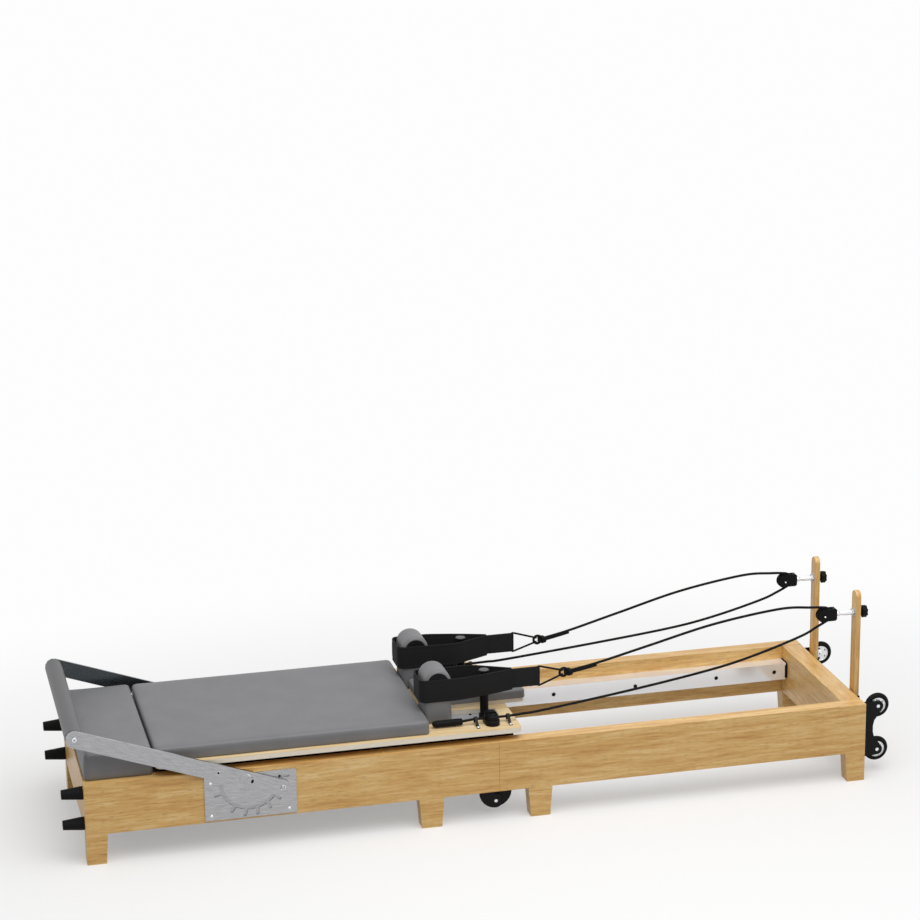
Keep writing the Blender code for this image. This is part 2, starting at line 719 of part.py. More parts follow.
def add_hinge(build):
    foot_inner = RAIL_INNER_Y - SEAT_GAP - LEAF_THICKNESS
    head_outer = foot_inner - SEAT_GAP
    head_inner = head_outer - LEAF_THICKNESS
    half_tube = foot_inner + JOIN_OVERLAP
    tube = cylinder("Y", (0, 0, FOLD_AXIS_Z), HINGE_TUBE_RADIUS, -half_tube, half_tube, 16)
    leaves = []
    for sign in SIDES.values():
        leaves.append(prism("XZ", leaf_outline(-1), *span(sign, foot_inner, foot_inner + LEAF_THICKNESS)))
    build.add("folding_hinge", tube, "black", unions=leaves)
    for side, sign in SIDES.items():
        leaf = prism("XZ", leaf_outline(1), *span(sign, head_inner, head_outer))
        spacer = box(
            (LEAF_SPACER_START, LEAF_RADIUS),
            span(sign, head_outer - JOIN_OVERLAP, RAIL_INNER_Y - SEAT_GAP),
            (LEAF_SPACER_BOTTOM, LEAF_TOP),
        )
        reach = span(sign, head_inner - CUT_OVERRUN, head_outer + CUT_OVERRUN)
        origin = (0, 0, FOLD_AXIS_Z)
        bore = cylinder("Y", origin, HINGE_TUBE_RADIUS + RUNNING_GAP, *reach, segments=16)
        build.add(f"head_hinge_leaf_{side}", leaf, "black", origin=origin, unions=[spacer], cuts=[bore])


# Foot end


def spring_places():
    """The Y place of each spring, from the near side to the far side."""
    middle = (SPRING_COUNT - 1) / 2
    return [(index - middle) * SPRING_SPACING for index in range(SPRING_COUNT)]


def add_spring_bar(build):
    back = FOOT_BOARD_INNER_X + SEAT_GAP
    channel = (
        (back, BAR_TOP),
        (back, BAR_BOTTOM),
        (back + BAR_BOTTOM_FLANGE, BAR_BOTTOM),
        (back + BAR_BOTTOM_FLANGE, BAR_BOTTOM + BAR_SHEET),
        (back + BAR_SHEET, BAR_BOTTOM + BAR_SHEET),
        (back + BAR_SHEET, BAR_TOP - BAR_SHEET),
        (back + BAR_TOP_FLANGE, BAR_TOP - BAR_SHEET),
        (back + BAR_TOP_FLANGE, BAR_TOP),
    )
    half_width = TRACK_INNER_Y - BAR_TRACK_GAP
    body = prism("XZ", channel, -half_width, half_width)
    reach = RAIL_INNER_Y - SEAT_GAP
    flange = box((back, back + BAR_TOP_FLANGE), (-reach, reach), (BAR_TOP - BAR_SHEET, BAR_TOP))
    pegs = []
    for y in spring_places():
        foot = BAR_TOP - BAR_SHEET / 2
        top = BAR_TOP + PEG_HEIGHT
        profile = (
            (0, foot),
            (PEG_RADIUS, foot),
            (PEG_RADIUS, top - PEG_HEAD_THICKNESS - PEG_HEAD_EDGE),
            (PEG_HEAD_RADIUS, top - PEG_HEAD_THICKNESS),
            (PEG_HEAD_RADIUS, top - PEG_HEAD_EDGE),
            (PEG_HEAD_RADIUS - PEG_HEAD_ROUNDING, top),
            (0, top),
        )
        pegs.append(lathe("Z", (back + PEG_FROM_END_BOARD, y, 0), profile, 12))
    build.add("spring_peg_bar", body, "black", unions=[flange] + pegs)


def add_platform_pad(build):
    foot_x = -FOOT_LENGTH + PLATFORM_INSET
    x_range = (foot_x, foot_x + PLATFORM_LENGTH)
    add_cushion(build, "platform_pad", x_range, PAD_HALF_WIDTH, RAIL_TOP + SEAT_GAP, PLATFORM_TOP)


# Footbar


def polar(radius, angle):
    """A point at a distance and angle from the footbar's pivot."""
    turn = math.radians(angle)
    return (PIVOT_X + radius * math.cos(turn), PIVOT_Z + radius * math.sin(turn))


def notched_slot_outline():
    """Arc slot round the pivot, whose outer edge has a notch for each height of the footbar."""
    outline = arc((PIVOT_X, PIVOT_Z), ARC_SLOT_INNER_RADIUS, ARC_SLOT_END, ARC_SLOT_START, 18)
    angle = ARC_SLOT_START
    for notch in NOTCH_ANGLES:
        middle = (angle + notch - NOTCH_HALF_ANGLE) / 2
        outline.append(polar(ARC_SLOT_OUTER_RADIUS, angle))
        outline.append(polar(ARC_SLOT_OUTER_RADIUS, middle))
        outline.append(polar(ARC_SLOT_OUTER_RADIUS, notch - NOTCH_HALF_ANGLE))
        outline.append(polar(NOTCH_RADIUS, notch - NOTCH_HALF_ANGLE))
        outline.append(polar(NOTCH_TIP_RADIUS, notch))
        outline.append(polar(NOTCH_RADIUS, notch + NOTCH_HALF_ANGLE))
        angle = notch + NOTCH_HALF_ANGLE
    outline.append(polar(ARC_SLOT_OUTER_RADIUS, angle))
    outline.append(polar(ARC_SLOT_OUTER_RADIUS, ARC_SLOT_END))
    return outline


def capsule(start, end, half_width, steps=6):
    """Outline of a bar with round ends at two points of the XZ plane."""
    heading = math.degrees(math.atan2(end[1] - start[1], end[0] - start[0]))
    end_round = arc(end, half_width, heading - 90, heading + 90, steps)
    start_round = arc(start, half_width, heading + 90, heading + 270, steps)
    return end_round + start_round


def footbar_plate(sign, inner, outer):
    """One slotted plate with the shapes that are cut from it."""
    low = (PIVOT_X - PLATE_FOOT_REACH, PLATE_BOTTOM)
    high = (PIVOT_X + PLATE_HEAD_REACH, PLATE_TOP)
    plate = prism("XZ", rounded_rectangle(low, high, PLATE_CORNER_RADIUS), *span(sign, inner, outer))
    through = span(sign, inner - CUT_OVERRUN, outer + CUT_OVERRUN)
    pill_z = PIVOT_Z + PILL_SLOT_HEIGHT
    pill_start = PIVOT_X + PILL_SLOT_START + PILL_SLOT_RADIUS
    pill_end = PIVOT_X + PILL_SLOT_START + PILL_SLOT_LENGTH - PILL_SLOT_RADIUS
    pill = capsule((pill_start, pill_z), (pill_end, pill_z), PILL_SLOT_RADIUS, 4)
    return plate, [
        prism("XZ", notched_slot_outline(), *through),
        prism("XZ", pill, *through),
        cylinder("Y", (PIVOT_X, 0, PIVOT_Z), PIVOT_PIN_RADIUS + RUNNING_GAP, *through),
    ]


def add_footbar(build):
    plate_inner = RAIL_OUTER_Y + SEAT_GAP
    plate_outer = plate_inner + PLATE_THICKNESS
    arm_inner = plate_outer + RUNNING_GAP
    arm_outer = arm_inner + ARM_THICKNESS
    origin = (PIVOT_X, 0, PIVOT_Z)
    grip_end = polar(ARM_LENGTH, ARM_REST_ANGLE)
    tail_end = polar(ARM_TAIL_LENGTH, ARM_REST_ANGLE - 180)
    lock = polar(LOCK_PIN_DISTANCE, ARM_REST_ANGLE - 180)
    hole = polar(ARM_HOLE_DISTANCE, ARM_REST_ANGLE)
    for side, sign in SIDES.items():
        plate, cuts = footbar_plate(sign, plate_inner, plate_outer)
        build.add(f"footbar_plate_{side}", plate, "steel", cuts=cuts)

        arm = prism("XZ", capsule(tail_end, grip_end, ARM_WIDTH / 2), *span(sign, arm_inner, arm_outer))
        pin_reach = span(sign, plate_inner, arm_outer - JOIN_OVERLAP)
        head_reach = span(sign, arm_outer - JOIN_OVERLAP, arm_outer + PIN_HEAD_HEIGHT)
        through_arm = span(sign, arm_inner - CUT_OVERRUN, arm_outer + CUT_OVERRUN)
        fittings = [
            cylinder("Y", origin, PIVOT_PIN_RADIUS, *pin_reach),
            cylinder("Y", origin, PIVOT_HEAD_RADIUS, *head_reach),
            cylinder("Y", (lock[0], 0, lock[1]), LOCK_PIN_RADIUS, *head_reach, segments=12),
            cylinder("Y", (grip_end[0], 0, grip_end[1]), GRIP_BOLT_RADIUS, *head_reach, segments=12),
        ]
        arm_hole = cylinder("Y", (hole[0], 0, hole[1]), ARM_HOLE_RADIUS, *through_arm, segments=10)
        build.add(
            f"footbar_arm_{side}", arm, "steel", origin=origin, smooth=30, unions=fittings, cuts=[arm_hole])
    half_length = arm_inner - SEAT_GAP
    profile = (
        (0, -half_length),
        (GRIP_END_RADIUS, -half_length),
        (GRIP_RADIUS, -half_length + GRIP_END_ROLL),
        (GRIP_RADIUS, half_length - GRIP_END_ROLL),
        (GRIP_END_RADIUS, half_length),
        (0, half_length),
    )
    grip = lathe("Y", (grip_end[0], 0, grip_end[1]), profile, 24)
    build.add("footbar_grip", grip, "grip", origin=origin, smooth=40)


# Carriage


def cushion_shape(x_range, half_width, bottom, top, corner, crown):
    """A stuffed pad: drawn in at its foot, round at its upper edge and crowned on top."""
    height = top - bottom
    levels = [(inset, bottom + share * height) for inset, share in CUSHION_SIDE]
    levels += [(inset, top - crown - drop) for inset, drop in CUSHION_SHOULDER]
    levels += [(inset, top - share * crown) for inset, share in CUSHION_TOP]
    rings = []
    for inset, z in levels:
        low = (x_range[0] + inset, -half_width + inset)
        high = (x_range[1] - inset, half_width - inset)
        radius = max(corner - inset, CUSHION_LEAST_CORNER)
        outline = rounded_rectangle(low, high, radius, 3, (5, 4))
        rings.append([(x, y, z) for x, y in outline])
    return loft(rings)


def add_cushion(
    build, name, x_range, half_width, bottom, top, corner=CUSHION_CORNER, crown=CUSHION_CROWN,
    origin=(0, 0, 0),
):
    shape = cushion_shape(x_range, half_width, bottom, top, corner, crown)
    return build.add(name, shape, "leather", origin=origin, smooth=40)


def cutout_outline(sign):
    points = (
        (CUTOUT_HEAD_X, CUTOUT_INNER_HEAD),
        (CUTOUT_HEAD_X, CUTOUT_OUTER_HEAD),
        (CUTOUT_BEND_X, CUTOUT_OUTER_FOOT),
        (CUTOUT_FOOT_X, CUTOUT_OUTER_FOOT),
        (CUTOUT_FOOT_X, CUTOUT_INNER_FOOT),
    )
    return [(x, sign * (BOARD_HALF_WIDTH - distance)) for x, distance in points]


def add_carriage_board(build):
    outline = rounded_rectangle(
        (BOARD_FOOT_X, -BOARD_HALF_WIDTH), (BOARD_HEAD_X, BOARD_HALF_WIDTH), BOARD_CORNER, 5)
    board = prism("XY", outline, BOARD_BOTTOM, BOARD_TOP)
    through = (BOARD_BOTTOM - CUT_OVERRUN, BOARD_TOP + CUT_OVERRUN)
    cuts = [prism("XY", cutout_outline(sign), *through) for sign in SIDES.values()]
    build.add("carriage_board", board, "plywood", cuts=cuts)
    pad_x = (BOARD_FOOT_X + CARRIAGE_PAD_INSET, REST_FOOT_X - CARRIAGE_PAD_REST_GAP)
    add_cushion(build, "carriage_pad", pad_x, PAD_HALF_WIDTH, BOARD_TOP + SEAT_GAP, CARRIAGE_PAD_TOP)


def cross_bar(middle):
    half_width = RUNNER_WEB_Y + JOIN_OVERLAP
    return box(
        (middle - CROSS_BAR_WIDTH / 2, middle + CROSS_BAR_WIDTH / 2),
        (-half_width, half_width),
        (CROSS_BAR_BOTTOM, CROSS_BAR_BOTTOM + CROSS_BAR_THICKNESS),
    )


def add_underframe(build):
    """Two runners with wheel axles, three cross bars and the sheet that the springs hang on."""
    top = BOARD_BOTTOM - SEAT_GAP
    anchor_half_width = SPRING_SPACING * (SPRING_COUNT - 1) / 2 + ANCHOR_MARGIN
    joined = [
        cross_bar(ANCHOR_X),
        cross_bar(HEAD_BAR_X),
        box(
            (ANCHOR_X - ANCHOR_SHEET / 2, ANCHOR_X + ANCHOR_SHEET / 2),
            (-anchor_half_width, anchor_half_width),
            (ANCHOR_BOTTOM, CROSS_BAR_BOTTOM + CROSS_BAR_THICKNESS / 2),
        ),
    ]
    runner_x = (BOARD_FOOT_X + RUNNER_FOOT_INSET, BOARD_HEAD_X - RUNNER_HEAD_INSET)
    for sign in SIDES.values():
        web = (
            (RUNNER_WEB_Y, RUNNER_BOTTOM),
            (RUNNER_WEB_Y + RUNNER_SHEET, RUNNER_BOTTOM),
            (RUNNER_WEB_Y + RUNNER_SHEET, top - RUNNER_SHEET),
            (RUNNER_FLANGE_Y, top - RUNNER_SHEET),
            (RUNNER_FLANGE_Y, top),
            (RUNNER_WEB_Y, top),
        )
        joined.append(prism("YZ", [(sign * y, z) for y, z in web], *runner_x))
        axle_end = LOAD_WHEEL_Y + LOAD_WHEEL_WIDTH / 2 + JOIN_OVERLAP
        for x in LOAD_WHEELS_X.values():
            reach = span(sign, RUNNER_WEB_Y + JOIN_OVERLAP, axle_end)
            joined.append(cylinder("Y", (x, 0, LOAD_WHEEL_Z), AXLE_RADIUS, *reach, segments=12))
        pin = (ROLLER_BOTTOM - CUT_OVERRUN, CROSS_BAR_BOTTOM + CUT_OVERRUN)
        joined.append(cylinder("Z", (HEAD_BAR_X, sign * ROLLER_Y, 0), AXLE_RADIUS, *pin, segments=12))
    build.add("carriage_underframe", cross_bar(FOOT_BAR_X), "black", unions=joined)


def wheel_shape(axis, centre, radius, half_width, bore, segments):
    """A wheel with a bore and slightly rounded shoulders."""
    profile = (
        (bore, -half_width),
        (radius - WHEEL_SHOULDER, -half_width),
        (radius, -half_width + WHEEL_SHOULDER),
        (radius, half_width - WHEEL_SHOULDER),
        (radius - WHEEL_SHOULDER, half_width),
        (bore, half_width),
    )
    return lathe(axis, centre, profile, segments, closed=True)


def add_rollers(build):
    bore = AXLE_RADIUS + RUNNING_GAP
    for side, sign in SIDES.items():
        for end, x in LOAD_WHEELS_X.items():
            centre = (x, sign * LOAD_WHEEL_Y, LOAD_WHEEL_Z)
            shape = wheel_shape("Y", centre, LOAD_WHEEL_RADIUS, LOAD_WHEEL_WIDTH / 2, bore, 24)
            build.add(f"load_wheel_{end}_{side}", shape, "plastic", origin=centre, smooth=35)
        centre = (HEAD_BAR_X, sign * ROLLER_Y, ROLLER_BOTTOM + ROLLER_HEIGHT / 2)
        shape = wheel_shape("Z", centre, ROLLER_RADIUS, ROLLER_HEIGHT / 2, bore, 24)
        build.add(f"guide_roller_{side}", shape, "plastic", origin=centre, smooth=35)


def add_springs(build):
    """Each spring's coil is a plain core of its outer shape, with its tail and round handle."""
    start = ANCHOR_X - ANCHOR_SHEET / 2 - SEAT_GAP
    coil_end = HANDLE_X + SPRING_TAIL_LENGTH
    for index, y in enumerate(spring_places(), start=1):
        profile = (
            (0, start),
            (SPRING_TAIL_RADIUS, start),
            (SPRING_TAIL_RADIUS, start - SPRING_EYE_LENGTH),
            (SPRING_RADIUS, start - SPRING_EYE_LENGTH - SPRING_SHOULDER_LENGTH),
            (SPRING_RADIUS, coil_end),
            (SPRING_TAIL_RADIUS, coil_end - SPRING_EYE_LENGTH),
            (SPRING_TAIL_RADIUS, HANDLE_X),
            (0, HANDLE_X),
        )
        coil = lathe("X", (0, y, SPRING_Z), profile, 12)
        half_handle = HANDLE_THICKNESS / 2
        handle = cylinder(
            "Z", (HANDLE_X, y, 0), HANDLE_RADIUS, SPRING_Z - half_handle, SPRING_Z + half_handle, segments=16)
        build.add(f"spring_{index}", coil, "spring", unions=[handle], smooth=40)


def add_headrest(build):
    bottom = BOARD_TOP + SEAT_GAP
    hinge = (HEADREST_FOOT_X, 0, bottom)
    top = bottom + HEADREST_BOARD_THICKNESS
    half_width = REST_INNER_Y - HEADREST_BOARD_REST_GAP
    outline = rounded_rectangle(
        (HEADREST_FOOT_X, -half_width), (HEADREST_HEAD_X, half_width), HEADREST_BOARD_CORNER)
    board = prism("XY", outline, bottom, top)
    build.add("headrest_board", board, "plywood", origin=hinge)
    pad_x = (HEADREST_FOOT_X - HEADREST_PAD_OVERHANG, HEADREST_HEAD_X + HEADREST_PAD_OVERHANG)
    pad_bottom = top + SEAT_GAP
    add_cushion(
        build, "headrest_pad", pad_x, REST_INNER_Y - HEADREST_PAD_REST_GAP, pad_bottom,
        pad_bottom + HEADREST_PAD_THICKNESS, corner=HEADREST_PAD_CORNER, crown=HEADREST_PAD_CROWN,
        origin=hinge)


def arch_outline(inset):
    """Upright block with a half-round top, shrunk by inset except at its foot."""
    left = REST_FOOT_X + inset
    right = REST_FOOT_X + REST_LENGTH - inset
    radius = (right - left) / 2
    centre = ((left + right) / 2, REST_TOP - inset - radius)
    foot = BOARD_TOP + SEAT_GAP
    side = [(right, foot), (right, foot + (centre[1] - foot) / 2)]
    other = [(left, foot + (centre[1] - foot) / 2), (left, foot)]
    return side + arc(centre, radius, 0, 180, 12) + other


def add_shoulder_rests(build):
    for side, sign in SIDES.items():
        stations = [(inset, REST_INNER_Y + offset) for inset, offset in REST_ROUNDING]
        stations += [(inset, REST_OUTER_Y - offset) for inset, offset in reversed(REST_ROUNDING)]
        rings = [[(x, sign * y, z) for x, z in arch_outline(inset)] for inset, y in stations]
        build.add(f"shoulder_rest_{side}", loft(rings), "leather", smooth=40)


def add_strap_posts(build):
    plate_top = BOARD_BOTTOM - SEAT_GAP
    plate_bottom = plate_top - POST_PLATE_THICKNESS
    plate_y = (BOARD_HALF_WIDTH - POST_PLATE_INNER, BOARD_HALF_WIDTH - POST_PLATE_OUTER)
    post_y = BOARD_HALF_WIDTH - POST_FROM_EDGE
    for side, sign in SIDES.items():
        plate = box(POST_PLATE_X, span(sign, *plate_y), (plate_bottom, plate_top))
        foot = plate_top - JOIN_OVERLAP
        profile = (
            (0, foot),
            (POST_COLLAR_RADIUS, foot),
            (POST_COLLAR_RADIUS, plate_top + POST_COLLAR_HEIGHT),
            (POST_RADIUS, plate_top + POST_COLLAR_HEIGHT),
            (POST_RADIUS, POST_TOP - POST_CAP_THICKNESS),
            (POST_CAP_RADIUS, POST_TOP - POST_CAP_THICKNESS),
            (POST_CAP_RADIUS, POST_TOP - POST_CAP_EDGE),
            (POST_CAP_RADIUS - POST_CAP_ROUNDING, POST_TOP),
            (0, POST_TOP),
        )
        post = lathe("Z", (POST_X, sign * post_y, 0), profile, 16)
        build.add(f"strap_post_{side}", plate, "black", unions=[post])


def oval(sign, inset, steps=6):
    """Outline of the cleat: a long oval across the carriage."""
    radius = CLEAT_WIDTH / 2 - inset
    reach = CLEAT_LENGTH / 2 - CLEAT_WIDTH / 2
    centre_y = sign * CLEAT_Y
    upper = arc((CLEAT_X, centre_y + reach), radius, 0, 180, steps)
    lower = arc((CLEAT_X, centre_y - reach), radius, 180, 360, steps)
    return upper + lower


def add_cleats(build):
    foot = BOARD_TOP + SEAT_GAP
    for side, sign in SIDES.items():
        levels = (
            (0, foot),
            (0, foot + CLEAT_BASE_HEIGHT - CLEAT_LOWER_ROUNDING),
            (CLEAT_LOWER_ROUNDING, foot + CLEAT_BASE_HEIGHT),
            (CLEAT_STEP, foot + CLEAT_BASE_HEIGHT),
            (CLEAT_STEP, foot + CLEAT_HEIGHT - CLEAT_UPPER_ROUNDING),
            (CLEAT_STEP + CLEAT_UPPER_ROUNDING, foot + CLEAT_HEIGHT),
        )
        rings = [[(x, y, z) for x, y in oval(sign, inset)] for inset, z in levels]
        groove_half = ROPE_RADIUS + CLEAT_ROPE_CLEARANCE
        groove = box(
            (CLEAT_X - CLEAT_WIDTH, CLEAT_X + CLEAT_WIDTH),
            span(sign, CLEAT_Y - groove_half, CLEAT_Y + groove_half),
            (BOARD_TOP + CLEAT_ROPE_HEIGHT - groove_half, foot + CLEAT_HEIGHT + CUT_OVERRUN),
        )
        build.add(f"rope_cleat_{side}", loft(rings), "plastic", cuts=[groove])


# Foot straps


def strap_centre_line():
    """Plan points of the band's middle, from the join round the shoulder rest and back."""
    outer_y = REST_OUTER_Y + SEAT_GAP + STRAP_THICKNESS / 2
    inner_y = REST_INNER_Y - STRAP_INNER_REST_GAP
    join_outer_y = WEBBING_Y + STRAP_JOIN_HALF_WIDTH
    join_inner_y = WEBBING_Y - STRAP_JOIN_HALF_WIDTH
    corner_x = REST_FOOT_X - STRAP_FROM_REST + STRAP_CORNER_RADIUS
    outer_corner = (corner_x, outer_y - STRAP_CORNER_RADIUS)
    inner_corner = (corner_x, inner_y + STRAP_CORNER_RADIUS)
    points = [(STRAP_JOIN_X, join_outer_y)]
    steps = 4
    for index in range(1, steps):
        share = index / steps
        points.append((
            STRAP_JOIN_X + (STRAP_OUTER_BEND_X - STRAP_JOIN_X) * share,
            join_outer_y + (outer_y - join_outer_y) * share,
        ))
    points.append((STRAP_OUTER_BEND_X, outer_y))
    points.append(((STRAP_OUTER_BEND_X + corner_x) / 2, outer_y))
    points += arc(outer_corner, STRAP_CORNER_RADIUS, 90, 180, steps)
    points += arc(inner_corner, STRAP_CORNER_RADIUS, 180, 270, steps)
    points.append(((STRAP_INNER_BEND_X + corner_x) / 2, inner_y))
    points.append((STRAP_INNER_BEND_X, inner_y))
    points.append(((STRAP_INNER_BEND_X + STRAP_JOIN_X) / 2, (inner_y + join_inner_y) / 2))
    points.append((STRAP_JOIN_X, join_inner_y))
    return points


def band_heights(x):
    """The band's lower and upper edge, which close in towards the join."""
    foot_x = REST_FOOT_X - STRAP_FROM_REST
    share = (x - foot_x) / (STRAP_JOIN_X - foot_x)
    low = STRAP_FOOT_BOTTOM + (STRAP_JOIN_BOTTOM - STRAP_FOOT_BOTTOM) * share
    high = STRAP_FOOT_TOP + (STRAP_JOIN_TOP - STRAP_FOOT_TOP) * share
    return low, high


def add_straps(build):
    line = strap_centre_line()
    for side, sign in SIDES.items():
        rings = []
        for index, (x, y) in enumerate(line):
            before = line[max(index - 1, 0)]
            after = line[min(index + 1, len(line) - 1)]
            length = math.hypot(after[0] - before[0], after[1] - before[1])
            across = (-(after[1] - before[1]) / length, (after[0] - before[0]) / length)
            low, high = band_heights(x)
            half = STRAP_THICKNESS / 2
            ring = []
            for offset, z in ((-half, low), (half, low), (half, high), (-half, high)):
                ring.append((x + across[0] * offset, sign * (y + across[1] * offset), z))
            rings.append(ring)
        webbing = box(
            (STRAP_JOIN_X - WEBBING_TUCK, WEBBING_END_X),
            span(sign, WEBBING_Y - WEBBING_HALF_THICKNESS, WEBBING_Y + WEBBING_HALF_THICKNESS),
            (WEBBING_BOTTOM, WEBBING_TOP),
        )
        build.add(f"strap_{side}", loft(rings), "webbing", unions=[webbing])


# Head end


def add_risers(build):
    inner = HEAD_LENGTH + SEAT_GAP
    outer = inner + RISER_THICKNESS
    knob_start = outer + SEAT_GAP
    half = RISER_WIDTH / 2
    for side, sign in SIDES.items():
        middle = sign * RISER_Y
        centre = (0, middle, PULLEY_Z)
        crown = arc((middle, RISER_TOP - half), half, 0, 180, 12)
        outline = [(middle + half, RISER_BOTTOM)] + crown + [(middle - half, RISER_BOTTOM)]
        plank = prism("YZ", outline, inner, outer)
        through = (inner - CUT_OVERRUN, outer + CUT_OVERRUN)
        bore = cylinder("X", centre, KNOB_SHAFT_RADIUS + RUNNING_GAP, *through, segments=12)
        build.add(f"riser_{side}", plank, "oak", origin=(0, 0, FOLD_AXIS_Z), cuts=[bore])

        shaft_reach = (PULLEY_X + FORK_STEM_REACH + SEAT_GAP, outer + KNOB_SHAFT_REACH)
        shaft = cylinder("X", centre, KNOB_SHAFT_RADIUS, *shaft_reach, segments=12)
        knob = prism("YZ", star_outline(middle), knob_start, knob_start + KNOB_THICKNESS)
        build.add(
            f"riser_knob_{side}", shaft, "plastic", origin=(outer, middle, PULLEY_Z), unions=[knob])


def star_outline(middle):
    """Knob outline with rounded lobes."""
    points = []
    count = KNOB_LOBES * 6
    for index in range(count):
        angle = math.tau * index / count
        share = 1 - KNOB_LOBE_SHARE + KNOB_LOBE_SHARE * math.cos(KNOB_LOBES * angle)
        radius = KNOB_RADIUS * share
        points.append((middle + radius * math.cos(angle), PULLEY_Z + radius * math.sin(angle)))
    return points


def fork_outline():
    """Cheek outline: round about the sheave, with cut corners at the bridge."""
    back = PULLEY_X + FORK_BRIDGE_END
    low = PULLEY_Z - FORK_CHEEK_RADIUS
    high = PULLEY_Z + FORK_CHEEK_RADIUS
    return arc((PULLEY_X, PULLEY_Z), FORK_CHEEK_RADIUS, 90, 270, 8) + [
        (back - FORK_CORNER, low),
        (back, low + FORK_CORNER),
        (back, high - FORK_CORNER),
        (back - FORK_CORNER, high),
    ]


def add_pulleys(build):
    half_sheave = SHEAVE_WIDTH / 2
    half_groove = SHEAVE_GROOVE_WIDTH / 2
    cheek_inner = half_sheave + FORK_CHEEK_GAP
    cheek_outer = cheek_inner + FORK_CHEEK_THICKNESS
    mouth_reach = SHEAVE_RADIUS + CUT_OVERRUN
    stem_end = PULLEY_X + FORK_STEM_REACH
    bore = PULLEY_PIN_RADIUS + RUNNING_GAP
    for side, sign in SIDES.items():
        middle = sign * RISER_Y
        centre = (PULLEY_X, middle, PULLEY_Z)
        pivot = (stem_end, middle, PULLEY_Z)
        block = prism("XZ", fork_outline(), middle - cheek_outer, middle + cheek_outer)
        mouth = box(
            (PULLEY_X - mouth_reach, PULLEY_X + FORK_BRIDGE_START),
            (middle - cheek_inner, middle + cheek_inner),
            (PULLEY_Z - mouth_reach, PULLEY_Z + mouth_reach),
        )
        half_pin = cheek_outer + CUT_OVERRUN
        pin = cylinder("Y", centre, PULLEY_PIN_RADIUS, -half_pin, half_pin, segments=12)
        stem_start = PULLEY_X + FORK_BRIDGE_END - CUT_OVERRUN
        stem = cylinder("X", (0, middle, PULLEY_Z), FORK_STEM_RADIUS, stem_start, stem_end, segments=12)
        item = build.add(f"pulley_fork_{side}", block, "plastic", origin=pivot)
        build.combine(item, mouth, "DIFFERENCE", f"pulley_mouth_{side}", pivot)
        build.combine(item, pin, "UNION", f"pulley_pin_{side}", pivot)
        build.combine(item, stem, "UNION", f"pulley_stem_{side}", pivot)

        profile = (
            (bore, -half_sheave),
            (SHEAVE_RADIUS, -half_sheave),
            (SHEAVE_RADIUS, -half_groove - SHEAVE_LIP),
            (SHEAVE_GROOVE_RADIUS, -half_groove),
            (SHEAVE_GROOVE_RADIUS, half_groove),
            (SHEAVE_RADIUS, half_groove + SHEAVE_LIP),
            (SHEAVE_RADIUS, half_sheave),
            (bore, half_sheave),
        )
        sheave = lathe("Y", centre, profile, 24, closed=True)
        build.add(f"pulley_sheave_{side}", sheave, "plastic", origin=centre, smooth=35)


def bracket_outline():
    """Cheek with a lobe round each axle and a hollow neck between them."""
    lower = TRANSPORT_WHEEL_HEIGHTS["lower"]
    upper = TRANSPORT_WHEEL_HEIGHTS["upper"]
    back = HEAD_LENGTH + SEAT_GAP
    lobe_low = arc((TRANSPORT_WHEEL_X, lower), BRACKET_LOBE_RADIUS, -90, BRACKET_LOBE_END, 5)
    lobe_high = arc((TRANSPORT_WHEEL_X, upper), BRACKET_LOBE_RADIUS, -BRACKET_LOBE_END, 90, 5)
    middle = (lower + upper) / 2
    neck = [(HEAD_LENGTH + reach, middle + height) for reach, height in BRACKET_NECK]
    return [(back, BRACKET_BOTTOM)] + lobe_low + neck + lobe_high + [(back, BRACKET_TOP)]


def add_transport_wheels(build):
    outer = BRACKET_CHEEK_Y + BRACKET_SHEET
    back = HEAD_LENGTH + SEAT_GAP
    flange_y = RAIL_OUTER_Y - BRACKET_FLANGE_FROM_OUTER_FACE
    half_width = TRANSPORT_WHEEL_WIDTH / 2
    wheel_y = BRACKET_CHEEK_Y - TRANSPORT_WHEEL_SIDE_GAP - half_width
    bore = AXLE_RADIUS + RUNNING_GAP
    edge_radius = TRANSPORT_WHEEL_RADIUS - TREAD_EDGE_DROP
    shoulder_radius = TRANSPORT_WHEEL_RADIUS - TREAD_SHOULDER_DROP
    profile = (
        (bore, -half_width),
        (edge_radius, -half_width),
        (shoulder_radius, -half_width / 2),
        (TRANSPORT_WHEEL_RADIUS, 0.0),
        (shoulder_radius, half_width / 2),
        (edge_radius, half_width),
        (bore, half_width),
    )
    for side, sign in SIDES.items():
        cheek = prism("XZ", bracket_outline(), *span(sign, BRACKET_CHEEK_Y, outer))
        flange_reach = span(sign, flange_y, outer - JOIN_OVERLAP)
        joined = [box((back, back + BRACKET_SHEET), flange_reach, (BRACKET_BOTTOM, BRACKET_TOP))]
        axle_reach = span(sign, wheel_y - half_width - JOIN_OVERLAP, BRACKET_CHEEK_Y + JOIN_OVERLAP)
        for z in TRANSPORT_WHEEL_HEIGHTS.values():
            joined.append(cylinder("Y", (TRANSPORT_WHEEL_X, 0, z), AXLE_RADIUS, *axle_reach, segments=12))
        build.add(f"wheel_bracket_{side}", cheek, "black", origin=(0, 0, FOLD_AXIS_Z), unions=joined)
        for level, z in TRANSPORT_WHEEL_HEIGHTS.items():
            centre = (TRANSPORT_WHEEL_X, sign * wheel_y, z)
            shape = lathe("Y", centre, profile, 28, closed=True)
            build.add(f"transport_wheel_{level}_{side}", shape, "tyre", origin=centre, smooth=35)


# Ropes


